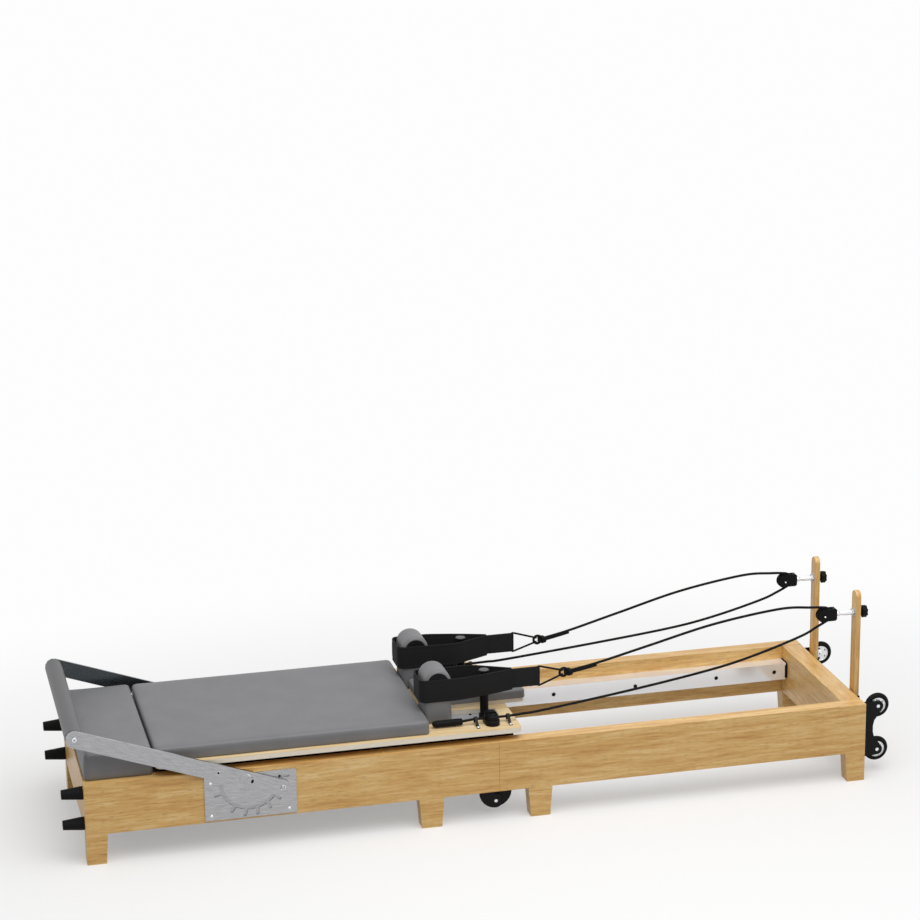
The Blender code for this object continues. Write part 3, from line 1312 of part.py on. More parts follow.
def smooth_points(route, step):
    """Points about a step apart on a smooth curve through the route."""
    ends = [route[0]] + list(route) + [route[-1]]
    points = []
    for index in range(1, len(ends) - 2):
        before, start, end, after = ends[index - 1:index + 3]
        length = math.dist(start, end)
        count = max(1, round(length / step))
        for part in range(count):
            t = part / count
            point = []
            for p0, p1, p2, p3 in zip(before, start, end, after):
                point.append(0.5 * (
                    2 * p1 + (p2 - p0) * t + (2 * p0 - 5 * p1 + 4 * p2 - p3) * t * t
                    + (3 * p1 - p0 - 3 * p2 + p3) * t * t * t))
            points.append(tuple(point))
    points.append(route[-1])
    return points


def laid_from(anchor, offsets):
    """Points from their offsets to what the rope is tied to or runs over."""
    return tuple(tuple(a + b for a, b in zip(anchor, offset)) for offset in offsets)


def rope_points():
    """The whole rope of the far side, with its radius at each point."""
    webbing = (WEBBING_END_X, WEBBING_Y, (WEBBING_BOTTOM + WEBBING_TOP) / 2)
    sheave = (PULLEY_X, RISER_Y, PULLEY_Z)
    cleat = (CLEAT_X, CLEAT_Y, BOARD_TOP + CLEAT_ROPE_HEIGHT)
    wrap = arc((PULLEY_X, PULLEY_Z), ROPE_WRAP_RADIUS, ROPE_WRAP_START, ROPE_WRAP_END, 10)
    wrap = [(x, RISER_Y, z) for x, z in wrap]
    strap_side = laid_from(webbing, ROPE_FROM_WEBBING) + laid_from(sheave, ROPE_TO_SHEAVE)
    board_side = laid_from(sheave, ROPE_FROM_SHEAVE) + laid_from(cleat, ROPE_TO_CLEAT)
    leading = smooth_points(strap_side + (wrap[0],), ROPE_STEP)
    trailing = smooth_points((wrap[-1],) + board_side, ROPE_STEP)
    thin = leading[:-1] + wrap + trailing[1:]
    points = [(point, 1.0) for point in thin]
    sleeve = SLEEVE_RADIUS / ROPE_RADIUS
    for distance in SLEEVE_FROM_CLEAT:
        points.append(((CLEAT_X + distance, thin[-1][1], BOARD_TOP + SLEEVE_HEIGHT), sleeve))
    return points


def add_ropes(build):
    points = rope_points()
    for side, sign in SIDES.items():
        curve = bpy.data.curves.new(f"rope_{side}", "CURVE")
        curve.dimensions = "3D"
        curve.bevel_depth = ROPE_RADIUS
        curve.bevel_resolution = 2
        curve.render_resolution_u = 0
        curve.use_fill_caps = True
        spline = curve.splines.new("POLY")
        spline.points.add(len(points) - 1)
        for target, ((x, y, z), radius) in zip(spline.points, points):
            target.co = (x, sign * y, z, 1)
            target.radius = radius
        curve.materials.append(build.materials["rope"])
        item = bpy.data.objects.new(f"rope_{side}", curve)
        build.link(item, (0, 0, 0))


def main():
    clear_scene()
    build = Builder()
    add_frame(build)
    add_tracks(build)
    add_hinge(build)
    add_spring_bar(build)
    add_platform_pad(build)
    add_footbar(build)
    add_carriage_board(build)
    add_underframe(build)
    add_rollers(build)
    add_springs(build)
    add_headrest(build)
    add_shoulder_rests(build)
    add_strap_posts(build)
    add_cleats(build)
    add_straps(build)
    add_risers(build)
    add_pulleys(build)
    add_transport_wheels(build)
    add_ropes(build)


main()
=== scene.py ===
"""Folding pilates reformer: finishes, ropes, straps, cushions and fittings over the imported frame.

Lengths are metres. The head end is at +X, the near side is -Y and +Z is up.
"""

import math

import bmesh
import bpy
from bpy.props import FloatProperty, FloatVectorProperty, PointerProperty
from mathutils import Matrix, Vector


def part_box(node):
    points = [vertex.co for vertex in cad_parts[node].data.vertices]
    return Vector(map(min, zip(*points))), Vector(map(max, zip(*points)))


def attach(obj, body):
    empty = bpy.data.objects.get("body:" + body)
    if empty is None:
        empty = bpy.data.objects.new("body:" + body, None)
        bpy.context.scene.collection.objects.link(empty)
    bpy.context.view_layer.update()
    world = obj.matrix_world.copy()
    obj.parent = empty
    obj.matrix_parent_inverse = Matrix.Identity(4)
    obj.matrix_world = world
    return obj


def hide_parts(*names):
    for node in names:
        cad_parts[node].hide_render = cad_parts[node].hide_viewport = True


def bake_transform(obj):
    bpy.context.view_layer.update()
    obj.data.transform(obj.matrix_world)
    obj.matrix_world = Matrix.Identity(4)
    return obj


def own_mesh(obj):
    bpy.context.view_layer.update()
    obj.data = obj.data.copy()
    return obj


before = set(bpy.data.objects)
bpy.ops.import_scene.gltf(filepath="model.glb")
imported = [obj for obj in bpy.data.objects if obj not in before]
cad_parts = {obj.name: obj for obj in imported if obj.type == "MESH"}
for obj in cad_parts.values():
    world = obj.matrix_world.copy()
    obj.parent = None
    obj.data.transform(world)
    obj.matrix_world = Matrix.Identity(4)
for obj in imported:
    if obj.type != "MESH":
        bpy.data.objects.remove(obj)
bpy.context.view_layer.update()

bl_info = {
    "name": "Folding pilates reformer",
    "version": (1, 0, 0),
    "blender": (4, 5, 0),
    "location": "View3D > Sidebar > Reformer",
    "description": "Builds the visible model of a folding pilates reformer over its frame",
    "category": "Object",
}

SIDES = {"near": -1, "far": 1}
SEAM_X = (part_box("foot_rail_near")[1].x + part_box("head_rail_near")[0].x) / 2
MM = 0.001

# Rope route of the far side, measured along X from the seam between the frame halves
ROPE_STRAP_SIDE = (
    (0.2477, 0.1530, 0.3980),
    (0.3510, 0.1560, 0.4180),
    (0.5170, 0.1610, 0.4600),
    (0.7260, 0.1670, 0.5120),
    (0.9360, 0.1730, 0.5430),
    (1.0400, 0.1770, 0.5400),
)
ROPE_BOARD_SIDE = (
    (1.0600, 0.1780, 0.4735),
    (1.0060, 0.1830, 0.4500),
    (0.8600, 0.1920, 0.4080),
    (0.7155, 0.2010, 0.3780),
    (0.4650, 0.2170, 0.3450),
    (0.1640, 0.2320, 0.3124),
    (0.1000, 0.2355, 0.3087),
    (0.0470, 0.2382, 0.3067),
    (-0.0060, 0.2385, 0.3065),
    (-0.0600, 0.2385, 0.3068),
    (-0.0990, 0.2385, 0.3035),
)
ROPE_WRAP_RADIUS = 0.024
ROPE_WRAP_START = 86.0
ROPE_WRAP_END = -62.0
ROPE_LEAD_X = 1.036
ROPE_REST_X = 0.100
ROPE_STEP = 0.008
RISER_Y = 0.177
PULLEY_Z = 0.512
SHEAVE = (1.083, RISER_Y, PULLEY_Z)
STRAP_FOOT_X = -0.2165
STRAP_JOIN_X = 0.080
STRAP_Y = 0.158

# Modelling
DOUBLES_WITHIN = 0.00002
SHARP_ANGLE = 30
COIL_CORNERS = 10

# Frame and carriage
CUSHION_SWELL = 0.0014
PANEL_RADIUS = 0.033
POST_X = -0.006
TRACK_INNER_Y = 0.2142
WHEEL_X = 1.241
WHEEL_LEVELS = {"lower": 0.077, "upper": 0.222}
SPRING_SPACING = 0.072
SPRING_COLOURS = ("green", "red", "yellow", "red", "green")
RISER_HALF = 0.020
RISER_FACES = (1.1843, 1.2005)
TRACK_PLUGS_X = (0.3165, 0.592, 0.869, 1.070)

# Studio
WORLD_LIGHT = 0.45
PAPER_GLOW = 0.33
PAPER_FAR = 0.985
LAMPS = (("studio_key", (0.3, -1.7, 4.3), 5.0, 166),)
WHITE = (1, 1, 1, 1)

# Camera: its place from the seam, its yaw, pitch and roll, and its focal length in photograph pixels
CAMERA_PLACE = (-1.8617, -7.6285, 3.2871)
CAMERA_TURN = (0.2350, 0.2771, -0.0138)
FOCAL_PIXELS = 2684.75
PHOTO_PIXELS = 920
SENSOR_WIDTH = 36

# Tones of the woods, picked about a middle one that the user may change
OAK_MIDDLE = "#D2A765"
OAK_TONES = ((0.34, "#C4904E"), (0.45, "#D6A75F"), (0.55, "#E2B873"), (0.68, "#EDCC90"))
PLYWOOD_MIDDLE = "#E8CB98"
PLYWOOD_TONES = ((0.30, "#D8B27A"), (0.50, "#E8CB98"), (0.70, "#F2DCB4"))
# A wave texture at scale 1 has a wave in each of these lengths
WAVE_UNIT = 0.314

# Footbar and its plates
ARM_ANGLE = 160.3
ARM_INNER_FACE = 0.3141
ARM_OUTER_FACE = 0.3200
PIVOT_CAP = (-0.7770, 0.2235)
LOCK_PIN = (-0.6650, 0.1850)
PEEP_HOLE = (-0.8550, 0.2522)
PIVOT = (-0.7617, 0.2191)
SLOT_RADIUS = 0.089
SLOT_START = 189
SLOT_END = 333
NOTCHES = ((203, 4), (243, 10), (266, 14), (288, 20), (309, 19), (329, 19))
SHORT_SLOT = ((-0.6705, 0.2196), (-0.6470, 0.2200))
SLOT_HALF, NOTCH_HALF, SHORT_SLOT_HALF = 0.0060, 0.0052, 0.0042
NOTCH_LENGTH = 0.0205
PLATE_SCREWS = ((-0.879, 0.2186), (-0.879, 0.1150), (-0.646, 0.1160))


# Colours and nodes


def linear(code):
    """An sRGB hex colour as the linear values that a shader takes."""
    channels = [int(code[start:start + 2], 16) / 255 for start in (1, 3, 5)]
    return [c / 12.92 if c <= 0.04045 else ((c + 0.055) / 1.055) ** 2.4 for c in channels] + [1.0]


def shaded(colour, share, lift=0.0):
    """The colour made paler or darker by a share, opaque and no brighter than white."""
    return [min(channel * share + lift, 1) for channel in colour[:3]] + [1.0]


def followed(tones, chosen, middle):
    """Ramp tones picked about a middle tone, moved with the colour chosen in its place."""
    shares = [channel / standard for channel, standard in zip(chosen, linear(middle))]
    return [(place, [min(c * share, 1) for c, share in zip(linear(code), shares)]) for place, code in tones]


def add_node(tree, kind, inputs=None, **settings):
    """One node with its settings, socket values and incoming links."""
    made = tree.nodes.new(kind)
    for name, value in settings.items():
        setattr(made, name, value)
    for socket, value in (inputs or {}).items():
        if isinstance(value, bpy.types.NodeSocket):
            tree.links.new(value, made.inputs[socket])
        else:
            made.inputs[socket].default_value = value
    return made


def new_finish(name, colour, roughness, metallic=0.0, **sockets):
    """A material whose shader already holds what is the same all over the surface."""
    finish = bpy.data.materials.new(name)
    finish.use_nodes = True
    tree = finish.node_tree
    shader = tree.nodes["Principled BSDF"]
    shader.inputs["Base Color"].default_value = colour
    shader.inputs["Roughness"].default_value = roughness
    shader.inputs["Metallic"].default_value = metallic
    for socket, value in sockets.items():
        shader.inputs[socket.replace("_", " ")].default_value = value
    return finish, tree, shader


def object_place(tree):
    """Places on the object, in metres."""
    return add_node(tree, "ShaderNodeTexCoord").outputs["Object"]


def stretched(tree, place, lengths):
    """Places scaled so that one unit of a texture covers these lengths along X, Y and Z."""
    scale = [1 / length for length in lengths]
    return add_node(tree, "ShaderNodeMapping", {"Vector": place, "Scale": scale}).outputs[0]


def noise(tree, place, size=1.0, detail=2.0, distortion=0.0):
    """Noise whose patches are about size across."""
    return add_node(tree, "ShaderNodeTexNoise", {
        "Vector": place, "Scale": 1 / size, "Detail": detail, "Distortion": distortion}).outputs["Fac"]


def worked_out(tree, operation, *values):
    """Result of one maths node."""
    return add_node(tree, "ShaderNodeMath", dict(enumerate(values)), operation=operation).outputs[0]


def spread(tree, value, from_low, from_high, to_low, to_high):
    """A value drawn out from one range to another."""
    return add_node(tree, "ShaderNodeMapRange", {
        "Value": value, "From Min": from_low, "From Max": from_high, "To Min": to_low,
        "To Max": to_high}).outputs["Result"]


def mixed(tree, factor, first, second):
    """The first colour at 0 and the second at 1."""
    return add_node(tree, "ShaderNodeMix", {0: factor, 6: first, 7: second}, data_type="RGBA").outputs[2]


def set_colour(tree, shader, colour):
    """Takes the surface's colour from a socket."""
    tree.links.new(colour, shader.inputs["Base Color"])


def ramp_of(tree, factor, tones):
    """Colour ramp from a factor, with (place, colour) tones."""
    ramp = add_node(tree, "ShaderNodeValToRGB", {"Fac": factor})
    while len(ramp.color_ramp.elements) < len(tones):
        ramp.color_ramp.elements.new(0.5)
    for element, (place, colour) in zip(ramp.color_ramp.elements, tones):
        element.position = place
        element.color = colour
    return ramp.outputs["Color"]


def set_bump(tree, shader, height, distance, strength):
    """Takes the surface's relief from a height, drawn distance metres deep."""
    bump = add_node(tree, "ShaderNodeBump", {"Height": height, "Distance": distance, "Strength": strength})
    tree.links.new(bump.outputs["Normal"], shader.inputs["Normal"])


def set_roughness(tree, shader, factor, low, high):
    """Lets the roughness vary between two values with a factor."""
    tree.links.new(spread(tree, factor, 0.0, 1.0, low, high), shader.inputs["Roughness"])


# Finishes


def oak(name, axis):
    """Light oak under clear satin lacquer, planed along the grain.

    The eye sees long tan streaks, broad flames a hand wide and short dark pores. A pore is
    0.3 mm wide on the real wood and is drawn 2.2 mm wide so that it shows.
    """
    chosen = bpy.context.scene.reformer_colours.oak
    finish, tree, shader = new_finish(name, chosen, 0.42, Coat_Weight=0.25, Coat_Roughness=0.3)
    place = object_place(tree)

    def along_grain(wide, long):
        lengths = [wide * MM] * 3
        lengths["XYZ".index(axis)] = long * MM
        return stretched(tree, place, lengths)

    streaks = noise(tree, along_grain(7, 110), detail=7.0, distortion=0.7)
    flames = noise(tree, along_grain(48, 420), detail=3.0, distortion=1.8)
    pores = noise(tree, along_grain(2.2, 26), detail=1.0)
    grain = add_node(tree, "ShaderNodeMix", {0: 0.45, 2: streaks, 3: flames}, data_type="FLOAT").outputs[0]
    wood = ramp_of(tree, grain, followed(OAK_TONES, chosen, OAK_MIDDLE))
    set_colour(tree, shader, mixed(tree, spread(tree, pores, 0.56, 0.72, 0.0, 0.42), wood, linear("#94683A")))
    set_roughness(tree, shader, streaks, 0.36, 0.5)
    set_bump(tree, shader, streaks, 0.15 * MM, 0.35)
    return finish


def birch_plywood():
    """Lacquered birch plywood: cream faces, and nine plies with darker glue lines on its edges."""
    chosen = bpy.context.scene.reformer_colours.plywood
    finish, tree, shader = new_finish("birch_plywood_lacquered", chosen, 0.4, Coat_Weight=0.2)
    place = object_place(tree)
    grain = noise(tree, stretched(tree, place, (200 * MM, 8 * MM, 1.6 * MM)), detail=5.0)
    face = ramp_of(tree, grain, followed(PLYWOOD_TONES, chosen, PLYWOOD_MIDDLE))
    height = add_node(tree, "ShaderNodeSeparateXYZ", {"Vector": place}).outputs["Z"]
    line = worked_out(tree, "LESS_THAN", worked_out(tree, "MODULO", height, 3.33 * MM), 1.1 * MM)
    normal = add_node(tree, "ShaderNodeNewGeometry").outputs["Normal"]
    upright = add_node(tree, "ShaderNodeSeparateXYZ", {"Vector": normal}).outputs["Z"]
    edge = worked_out(tree, "LESS_THAN", worked_out(tree, "ABSOLUTE", upright), 0.5)
    glue = worked_out(tree, "MULTIPLY", worked_out(tree, "MULTIPLY", edge, line), 0.35)
    cream = mixed(tree, edge, face, linear("#F2EADA"))
    set_colour(tree, shader, mixed(tree, glue, cream, linear("#C2A377")))
    set_bump(tree, shader, grain, 0.1 * MM, 0.3)
    return finish


def grained_leather(name, colour):
    """Synthetic leather, embossed: a soft sheen broken by pebbles about 1.3 mm across."""
    finish, tree, shader = new_finish(name, colour, 0.5, Sheen_Weight=0.08, Sheen_Roughness=0.5)
    place = object_place(tree)
    pebbles = add_node(tree, "ShaderNodeTexVoronoi", {
        "Vector": place, "Scale": 1 / (1.3 * MM)}).outputs["Distance"]
    cloud = noise(tree, place, 90 * MM, 3.0)
    tones = ((0.3, shaded(colour, 0.93)), (0.7, shaded(colour, 1.06)))
    set_colour(tree, shader, ramp_of(tree, cloud, tones))
    set_roughness(tree, shader, pebbles, 0.44, 0.6)
    set_bump(tree, shader, pebbles, 0.12 * MM, 0.5)
    return finish


def brushed_steel(name, turn=0.0, share=1.0, painted_shade_within=0.0):
    """Stainless sheet brushed with a fine belt: pale streaks a finger long that lie along the part.

    Faces nearer the middle of the frame than the given distance take a darker grey: painted shade and
    reflection on the arm's inner face.
    """
    chosen = bpy.context.scene.reformer_colours.steel
    finish, tree, shader = new_finish(name, chosen, 0.26, 1.0)
    place = object_place(tree)
    level = add_node(tree, "ShaderNodeMapping", {"Vector": place, "Rotation": (0, turn, 0)}).outputs[0]
    streaks = noise(tree, stretched(tree, level, (34 * MM, 40 * MM, 2.6 * MM)), detail=4.0)
    # A share below 1 darkens the steel: painted shade, used for the backing sheet in the shade behind the
    # slots
    base = shaded(chosen, share)
    face = ramp_of(tree, streaks, ((0.32, shaded(base, 0.82)), (0.5, base), (0.68, shaded(base, 1.16))))
    # Painted shade: the arm's inner faces take a darker grey for the shade and dark reflections on them
    if painted_shade_within:
        across = add_node(tree, "ShaderNodeSeparateXYZ", {0: place}).outputs["Y"]
        within = worked_out(tree, "LESS_THAN", worked_out(tree, "ABSOLUTE", across), painted_shade_within)
        face = mixed(tree, within, face, linear("#6E7478"))
    set_colour(tree, shader, face)
    set_roughness(tree, shader, streaks, 0.20, 0.34)
    set_bump(tree, shader, streaks, 0.04 * MM, 0.3)
    return finish


def extruded_aluminium():
    """Clear-anodised extrusion: nearly white, drawn out in faint lines along its length."""
    finish, tree, shader = new_finish("anodised_aluminium_clear", linear("#FBFCFF"), 0.14, 0.5)
    lines = noise(tree, stretched(tree, object_place(tree), (900 * MM, 2.5 * MM, 2.5 * MM)))
    set_roughness(tree, shader, lines, 0.10, 0.18)
    set_bump(tree, shader, lines, 0.03 * MM, 0.3)
    return finish


def speckled(name, colour, roughness, grain, depth, gloss=0.5):
    """Plain coloured surface with a fine texture: grains grain mm across and depth mm deep."""
    finish, tree, shader = new_finish(name, colour, roughness, Specular_IOR_Level=gloss)
    specks = noise(tree, object_place(tree), grain * MM)
    set_colour(tree, shader, ramp_of(tree, specks, ((0.35, colour), (0.75, shaded(colour, 1.25, 0.002)))))
    set_roughness(tree, shader, specks, roughness - 0.06, roughness + 0.08)
    set_bump(tree, shader, specks, depth * MM, 0.5)
    return finish


def polished_steel(name, colour, roughness, metallic=1.0):
    """Bright plated steel of bolts, pegs and eye bolts, with the faint haze of handling."""
    finish, tree, shader = new_finish(name, colour, roughness, metallic)
    haze = noise(tree, object_place(tree), 12 * MM)
    set_roughness(tree, shader, haze, roughness - 0.05, roughness + 0.08)
    return finish


def wave(tree, place, length, direction="X"):
    """Waves that follow each other at a length in metres."""
    return add_node(tree, "ShaderNodeTexWave", {
        "Vector": place, "Scale": WAVE_UNIT / length}, bands_direction=direction).outputs["Fac"]


def woven(name, colour, thread, ribbed=False):
    """Woven polyester, read from the UV map in metres: threads over and under each other.

    A thread is 0.6 mm on the real webbing and is drawn as thick as thread so that it shows.
    """
    finish, tree, shader = new_finish(name, colour, 0.82, Sheen_Weight=0.04, Specular_IOR_Level=0.15)
    place = add_node(tree, "ShaderNodeUVMap").outputs["UV"]
    weave = worked_out(
        tree, "ADD" if ribbed else "MULTIPLY", wave(tree, place, thread, "Y"), wave(tree, place, thread))
    set_colour(tree, shader, ramp_of(tree, weave, ((0.1, colour), (0.9, shaded(colour, 1.7, 0.004)))))
    set_bump(tree, shader, weave, 0.25 * MM, 0.6)
    return finish


def braided_rope():
    """Braided polyester cord, 8 mm: a diamond pattern of strands that lean both ways."""
    colour = list(bpy.context.scene.reformer_colours.rope)
    finish, tree, shader = new_finish(
        "braided_polyester_black", colour, 0.7, Sheen_Weight=0.03, Specular_IOR_Level=0.15)
    place = add_node(tree, "ShaderNodeUVMap").outputs["UV"]
    waves = []
    for lean in (40, -40):
        turn = (0, 0, math.radians(lean))
        leaning = add_node(tree, "ShaderNodeMapping", {"Vector": place, "Rotation": turn}).outputs[0]
        waves.append(wave(tree, leaning, 3.2 * MM))
    strands = worked_out(tree, "MAXIMUM", *waves)
    set_colour(tree, shader, ramp_of(tree, strands, ((0.3, colour), (1.0, shaded(colour, 1.5)))))
    set_bump(tree, shader, strands, 0.4 * MM, 0.6)
    return finish


def make_finishes():
    """Every finish of the reformer by its short name."""
    colours = bpy.context.scene.reformer_colours
    along_arm = math.radians(ARM_ANGLE - 180)
    made = {
        "oak_x": oak("oak_lacquered_along_rails", "X"),
        "oak_y": oak("oak_lacquered_across_frame", "Y"),
        "oak_z": oak("oak_lacquered_upright", "Z"),
        "plywood": birch_plywood(),
        "leather": grained_leather("synthetic_leather_grey", list(colours.leather)),
        "steel": brushed_steel("stainless_steel_brushed_level"),
        # Painted shade and reflection on the arms' inner faces
        "arm_steel": brushed_steel(
            "stainless_steel_brushed_along_arm", along_arm, painted_shade_within=ARM_INNER_FACE + 0.3 * MM),
        # Painted shade: the same brushed sheet made darker, because it lies in the shade behind the slots
        "backing_steel_painted_shade": brushed_steel("stainless_steel_brushed_backing_painted_shade", share=0.86),
        "aluminium": extruded_aluminium(),
        # Powder coat: satin black with a faint orange peel of 1.5 mm
        "black_metal": speckled("powder_coat_satin_black", linear("#0C0C0D"), 0.42, 1.5, 0.06, 0.15),
        # Glass-filled nylon: dull black, moulded with a spark-eroded grain
        "black_plastic": speckled("nylon_moulded_black", linear("#0A0A0B"), 0.45, 0.9, 0.05, 0.12),
        # EVA foam tube, skinned: silver grey and smooth
        "grip": speckled("eva_foam_silver_grey", list(colours.grip), 0.42, 1.4, 0.05),
        # Vulcanised rubber: matt black and slightly greyed by dust
        "rubber": speckled("rubber_moulded_black", linear("#0C0C0C"), 0.62, 2.5, 0.04, 0.12),
        # Cast wheel centre, polished: nearly white
        "wheel_metal": polished_steel("aluminium_cast_polished", linear("#F2F3F5"), 0.24, 0.7),
        "zinc": polished_steel("steel_zinc_plated_bright", linear("#EEF0F3"), 0.22, 0.75),
        "dark_bolt": polished_steel("steel_black_oxide", linear("#35363A"), 0.35),
        "mirror_plate": polished_steel("steel_zinc_plated_dull", linear("#C9CCD2"), 0.34, 0.55),
        "spring_wire": polished_steel("music_wire_oiled", linear("#7B7C7F"), 0.28),
        # Polyamide cap: mid grey and matt
        "cap_grey": speckled("nylon_moulded_grey", linear("#4E4E50"), 0.5, 1.2, 0.04),
        "bronze_leather": speckled("bonded_leather_dark_brown", linear("#17120F"), 0.5, 1.2, 0.1, 0.2),
        "band": woven("neoprene_band_knit_face", linear("#181819"), 1.6 * MM),
        "webbing": woven("polyester_webbing_black", linear("#151516"), 2.2 * MM, ribbed=True),
        "stitch": speckled("polyester_thread_grey", linear("#1E1E20"), 0.7, 1, 0.05, 0.15),
        "rope": braided_rope(),
    }
    for colour, code in (("green", "#1F9E57"), ("red", "#D0343A"), ("yellow", "#DCC92F")):
        made[f"handle_{colour}"] = speckled(f"abs_moulded_{colour}", linear(code), 0.35, 2, 0.03)
    return made


# Modelling


def deselect():
    """Leaves edit mode and drops the selection."""
    if bpy.context.mode != "OBJECT":
        bpy.ops.object.mode_set(mode="OBJECT")
    bpy.ops.object.select_all(action="DESELECT")


def pick(piece):
    """Only this piece is selected and active."""
    deselect()
    piece.select_set(True)
    bpy.context.view_layer.objects.active = piece


def settle(piece, place=Matrix.Identity(4)):
    """The piece's place goes into its mesh, its doubles are merged and its faces point outwards."""
    pick(piece)
    piece.data.transform(place @ piece.matrix_world)
    piece.matrix_world = Matrix.Identity(4)
    bpy.ops.object.mode_set(mode="EDIT")
    bpy.ops.mesh.select_all(action="SELECT")
    bpy.ops.mesh.remove_doubles(threshold=DOUBLES_WITHIN)
    bpy.ops.mesh.normals_make_consistent(inside=False)
    bpy.ops.object.mode_set(mode="OBJECT")


def smooth(piece, angle=35):
    """Shades the piece smooth but for edges sharper than the angle."""
    pick(piece)
    bpy.ops.object.shade_smooth_by_angle(angle=math.radians(angle))


AXIS_TURNS = {
    "X": Matrix.Rotation(math.pi / 2, 4, "Y"),
    "Y": Matrix.Rotation(-math.pi / 2, 4, "X"),
    "Z": Matrix.Identity(4),
}


def named(name):
    """The piece that an operator has just made, under its name."""
    piece = bpy.context.active_object
    piece.name = name
    return piece


def applied(piece, kind, **settings):
    """Adds a modifier with its settings and makes its result the piece's own mesh."""
    pick(piece)
    bpy.ops.object.modifier_add(type=kind)
    modifier = piece.modifiers[-1]
    for name, value in settings.items():
        setattr(modifier, name, value)
    bpy.ops.object.modifier_apply(modifier=modifier.name)


def mirrored(section):
    """The (radius, place) points of a half section, set out on the other side of its middle."""
    return [(radius, -place) for radius, place in reversed(section)]


def around(centre, radius, angle):
    """The point at a distance from a centre, at an angle in degrees."""
    turn = math.radians(angle)
    return (centre[0] + radius * math.cos(turn), centre[1] + radius * math.sin(turn))


def arc(centre, radius, start, end, steps):
    """Points on an arc between two angles in degrees, both ends included."""
    return [around(centre, radius, start + (end - start) * step / steps) for step in range(steps + 1)]


def heading_at(line, index):
    """Direction of a line of points at one of them."""
    before, after = line[max(index - 1, 0)], line[min(index + 1, len(line) - 1)]
    return (Vector(after) - Vector(before)).normalized()


def lengths_along(points):
    """The way from each point of a route to the next."""
    return [(after - before).length for before, after in zip(points, points[1:])]


def rectangle(low, high, inset=0.0):
    """Outline of a box seen from the side, drawn in by an inset."""
    left, right = low.x + inset, high.x - inset
    bottom, top = low.z + inset, high.z - inset
    return [(left, bottom), (right, bottom), (right, top), (left, top)]


def turned(name, centre, axis, rings, segments=32):
    """A turned piece: a disc drawn out along its axis through (place, radius) rings."""
    deselect()
    start, radius = rings[0]
    bpy.ops.mesh.primitive_circle_add(
        vertices=segments, radius=radius, fill_type="NGON", location=(0, 0, start))
    piece = named(name)
    bpy.ops.object.mode_set(mode="EDIT")
    for (before, wide), (after, following) in zip(rings, rings[1:]):
        bpy.ops.mesh.extrude_region_move(TRANSFORM_OT_translate={"value": (0, 0, after - before)})
        share = following / wide
        bpy.ops.transform.resize(value=(share, share, 1))
    bpy.ops.object.mode_set(mode="OBJECT")
    settle(piece, Matrix.Translation(centre) @ AXIS_TURNS[axis])
    smooth(piece)
    return piece


def bevelled(piece, width, segments=3):
    """Rounds the piece's sharp edges."""
    applied(
        piece, "BEVEL", width=width, segments=segments, limit_method="ANGLE",
        angle_limit=math.radians(SHARP_ANGLE))
    smooth(piece)
    return piece


def block(name, low, high, edge):
    """A cut block with rounded edges."""
    deselect()
    size = [b - a for a, b in zip(low, high)]
    middle = [(a + b) / 2 for a, b in zip(low, high)]
    bpy.ops.mesh.primitive_cube_add(size=1, location=middle, scale=size)
    piece = named(name)
    settle(piece)
    return bevelled(piece, edge)


def plate(name, axis, outline, low, high, edge=0.0):
    """A sheet piece: a disc whose rim is laid on the outline, then extruded along the axis."""
    deselect()
    bpy.ops.mesh.primitive_circle_add(vertices=len(outline), radius=0.1, fill_type="NGON")
    piece = named(name)
    for vertex, (first, second) in zip(piece.data.vertices, outline):
        places = {"X": (low, first, second), "Y": (first, low, second), "Z": (first, second, low)}
        vertex.co = places[axis]
    shift = {"X": (high - low, 0, 0), "Y": (0, high - low, 0), "Z": (0, 0, high - low)}[axis]
    bpy.ops.object.mode_set(mode="EDIT")
    bpy.ops.mesh.select_all(action="SELECT")
    bpy.ops.mesh.extrude_region_move(TRANSFORM_OT_translate={"value": shift})
    bpy.ops.object.mode_set(mode="OBJECT")
    settle(piece)
    return bevelled(piece, edge, 2) if edge else piece


def repeated(master, name, places):
    """Copies of a modelled piece, each with its own mesh, joined to one."""
    copies = [copied(master, name, place) for place in places]
    bpy.data.objects.remove(master)
    return joined(name, copies)


def joined(name, parts):
    """The parts as one piece."""
    deselect()
    for part in parts:
        part.select_set(True)
    bpy.context.view_layer.objects.active = parts[0]
    if len(parts) > 1:
        bpy.ops.object.join()
    piece = bpy.context.active_object
    piece.name = name
    return piece


def spot(x, y, z):
    """A point whose X is measured from the seam between the frame halves."""
    return Vector((x + SEAM_X, y, z))


def box_corners(side, x, y, z):
    """Corners of a block on one side, from X off the seam, distance off the middle and height."""
    across = sorted(SIDES[side] * value for value in y)
    return spot(x[0], across[0], z[0]), spot(x[1], across[1], z[1])


def fit(piece, body, finish, nodes=()):
    """Gives a piece its finish and lets it ride on its body, in place of the nodes named."""
    piece.data.materials.clear()
    piece.data.materials.append(FINISHES[finish])
    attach(piece, body)
    if nodes:
        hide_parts(*nodes)
    return piece


def mesh_piece(name, points, faces, coordinates=None):
    """A piece from its points and faces, with one UV pair for each corner where given."""
    mesh = bpy.data.meshes.new(name)
    mesh.from_pydata(points, [], faces)
    if coordinates:
        layer = mesh.uv_layers.new(name="surface")
        for corner, pair in zip(layer.data, coordinates):
            corner.uv = pair
    piece = bpy.data.objects.new(name, mesh)
    bpy.context.collection.objects.link(piece)
    return piece


def smooth_route(route, step):
    """Points about a step apart on a smooth curve through the route."""
    ends = [route[0]] + list(route) + [route[-1]]
    points = []
    for index in range(1, len(ends) - 2):
        before, start, end, after = (Vector(p) for p in ends[index - 1:index + 3])
        count = max(1, round((end - start).length / step))
        for part in range(count):
            t = part / count
            points.append(0.5 * (
                2 * start + (end - before) * t + (2 * before - 5 * start + 4 * end - after) * t * t
                + (3 * start - before - 3 * end + after) * t * t * t))
    points.append(Vector(route[-1]))
    return points


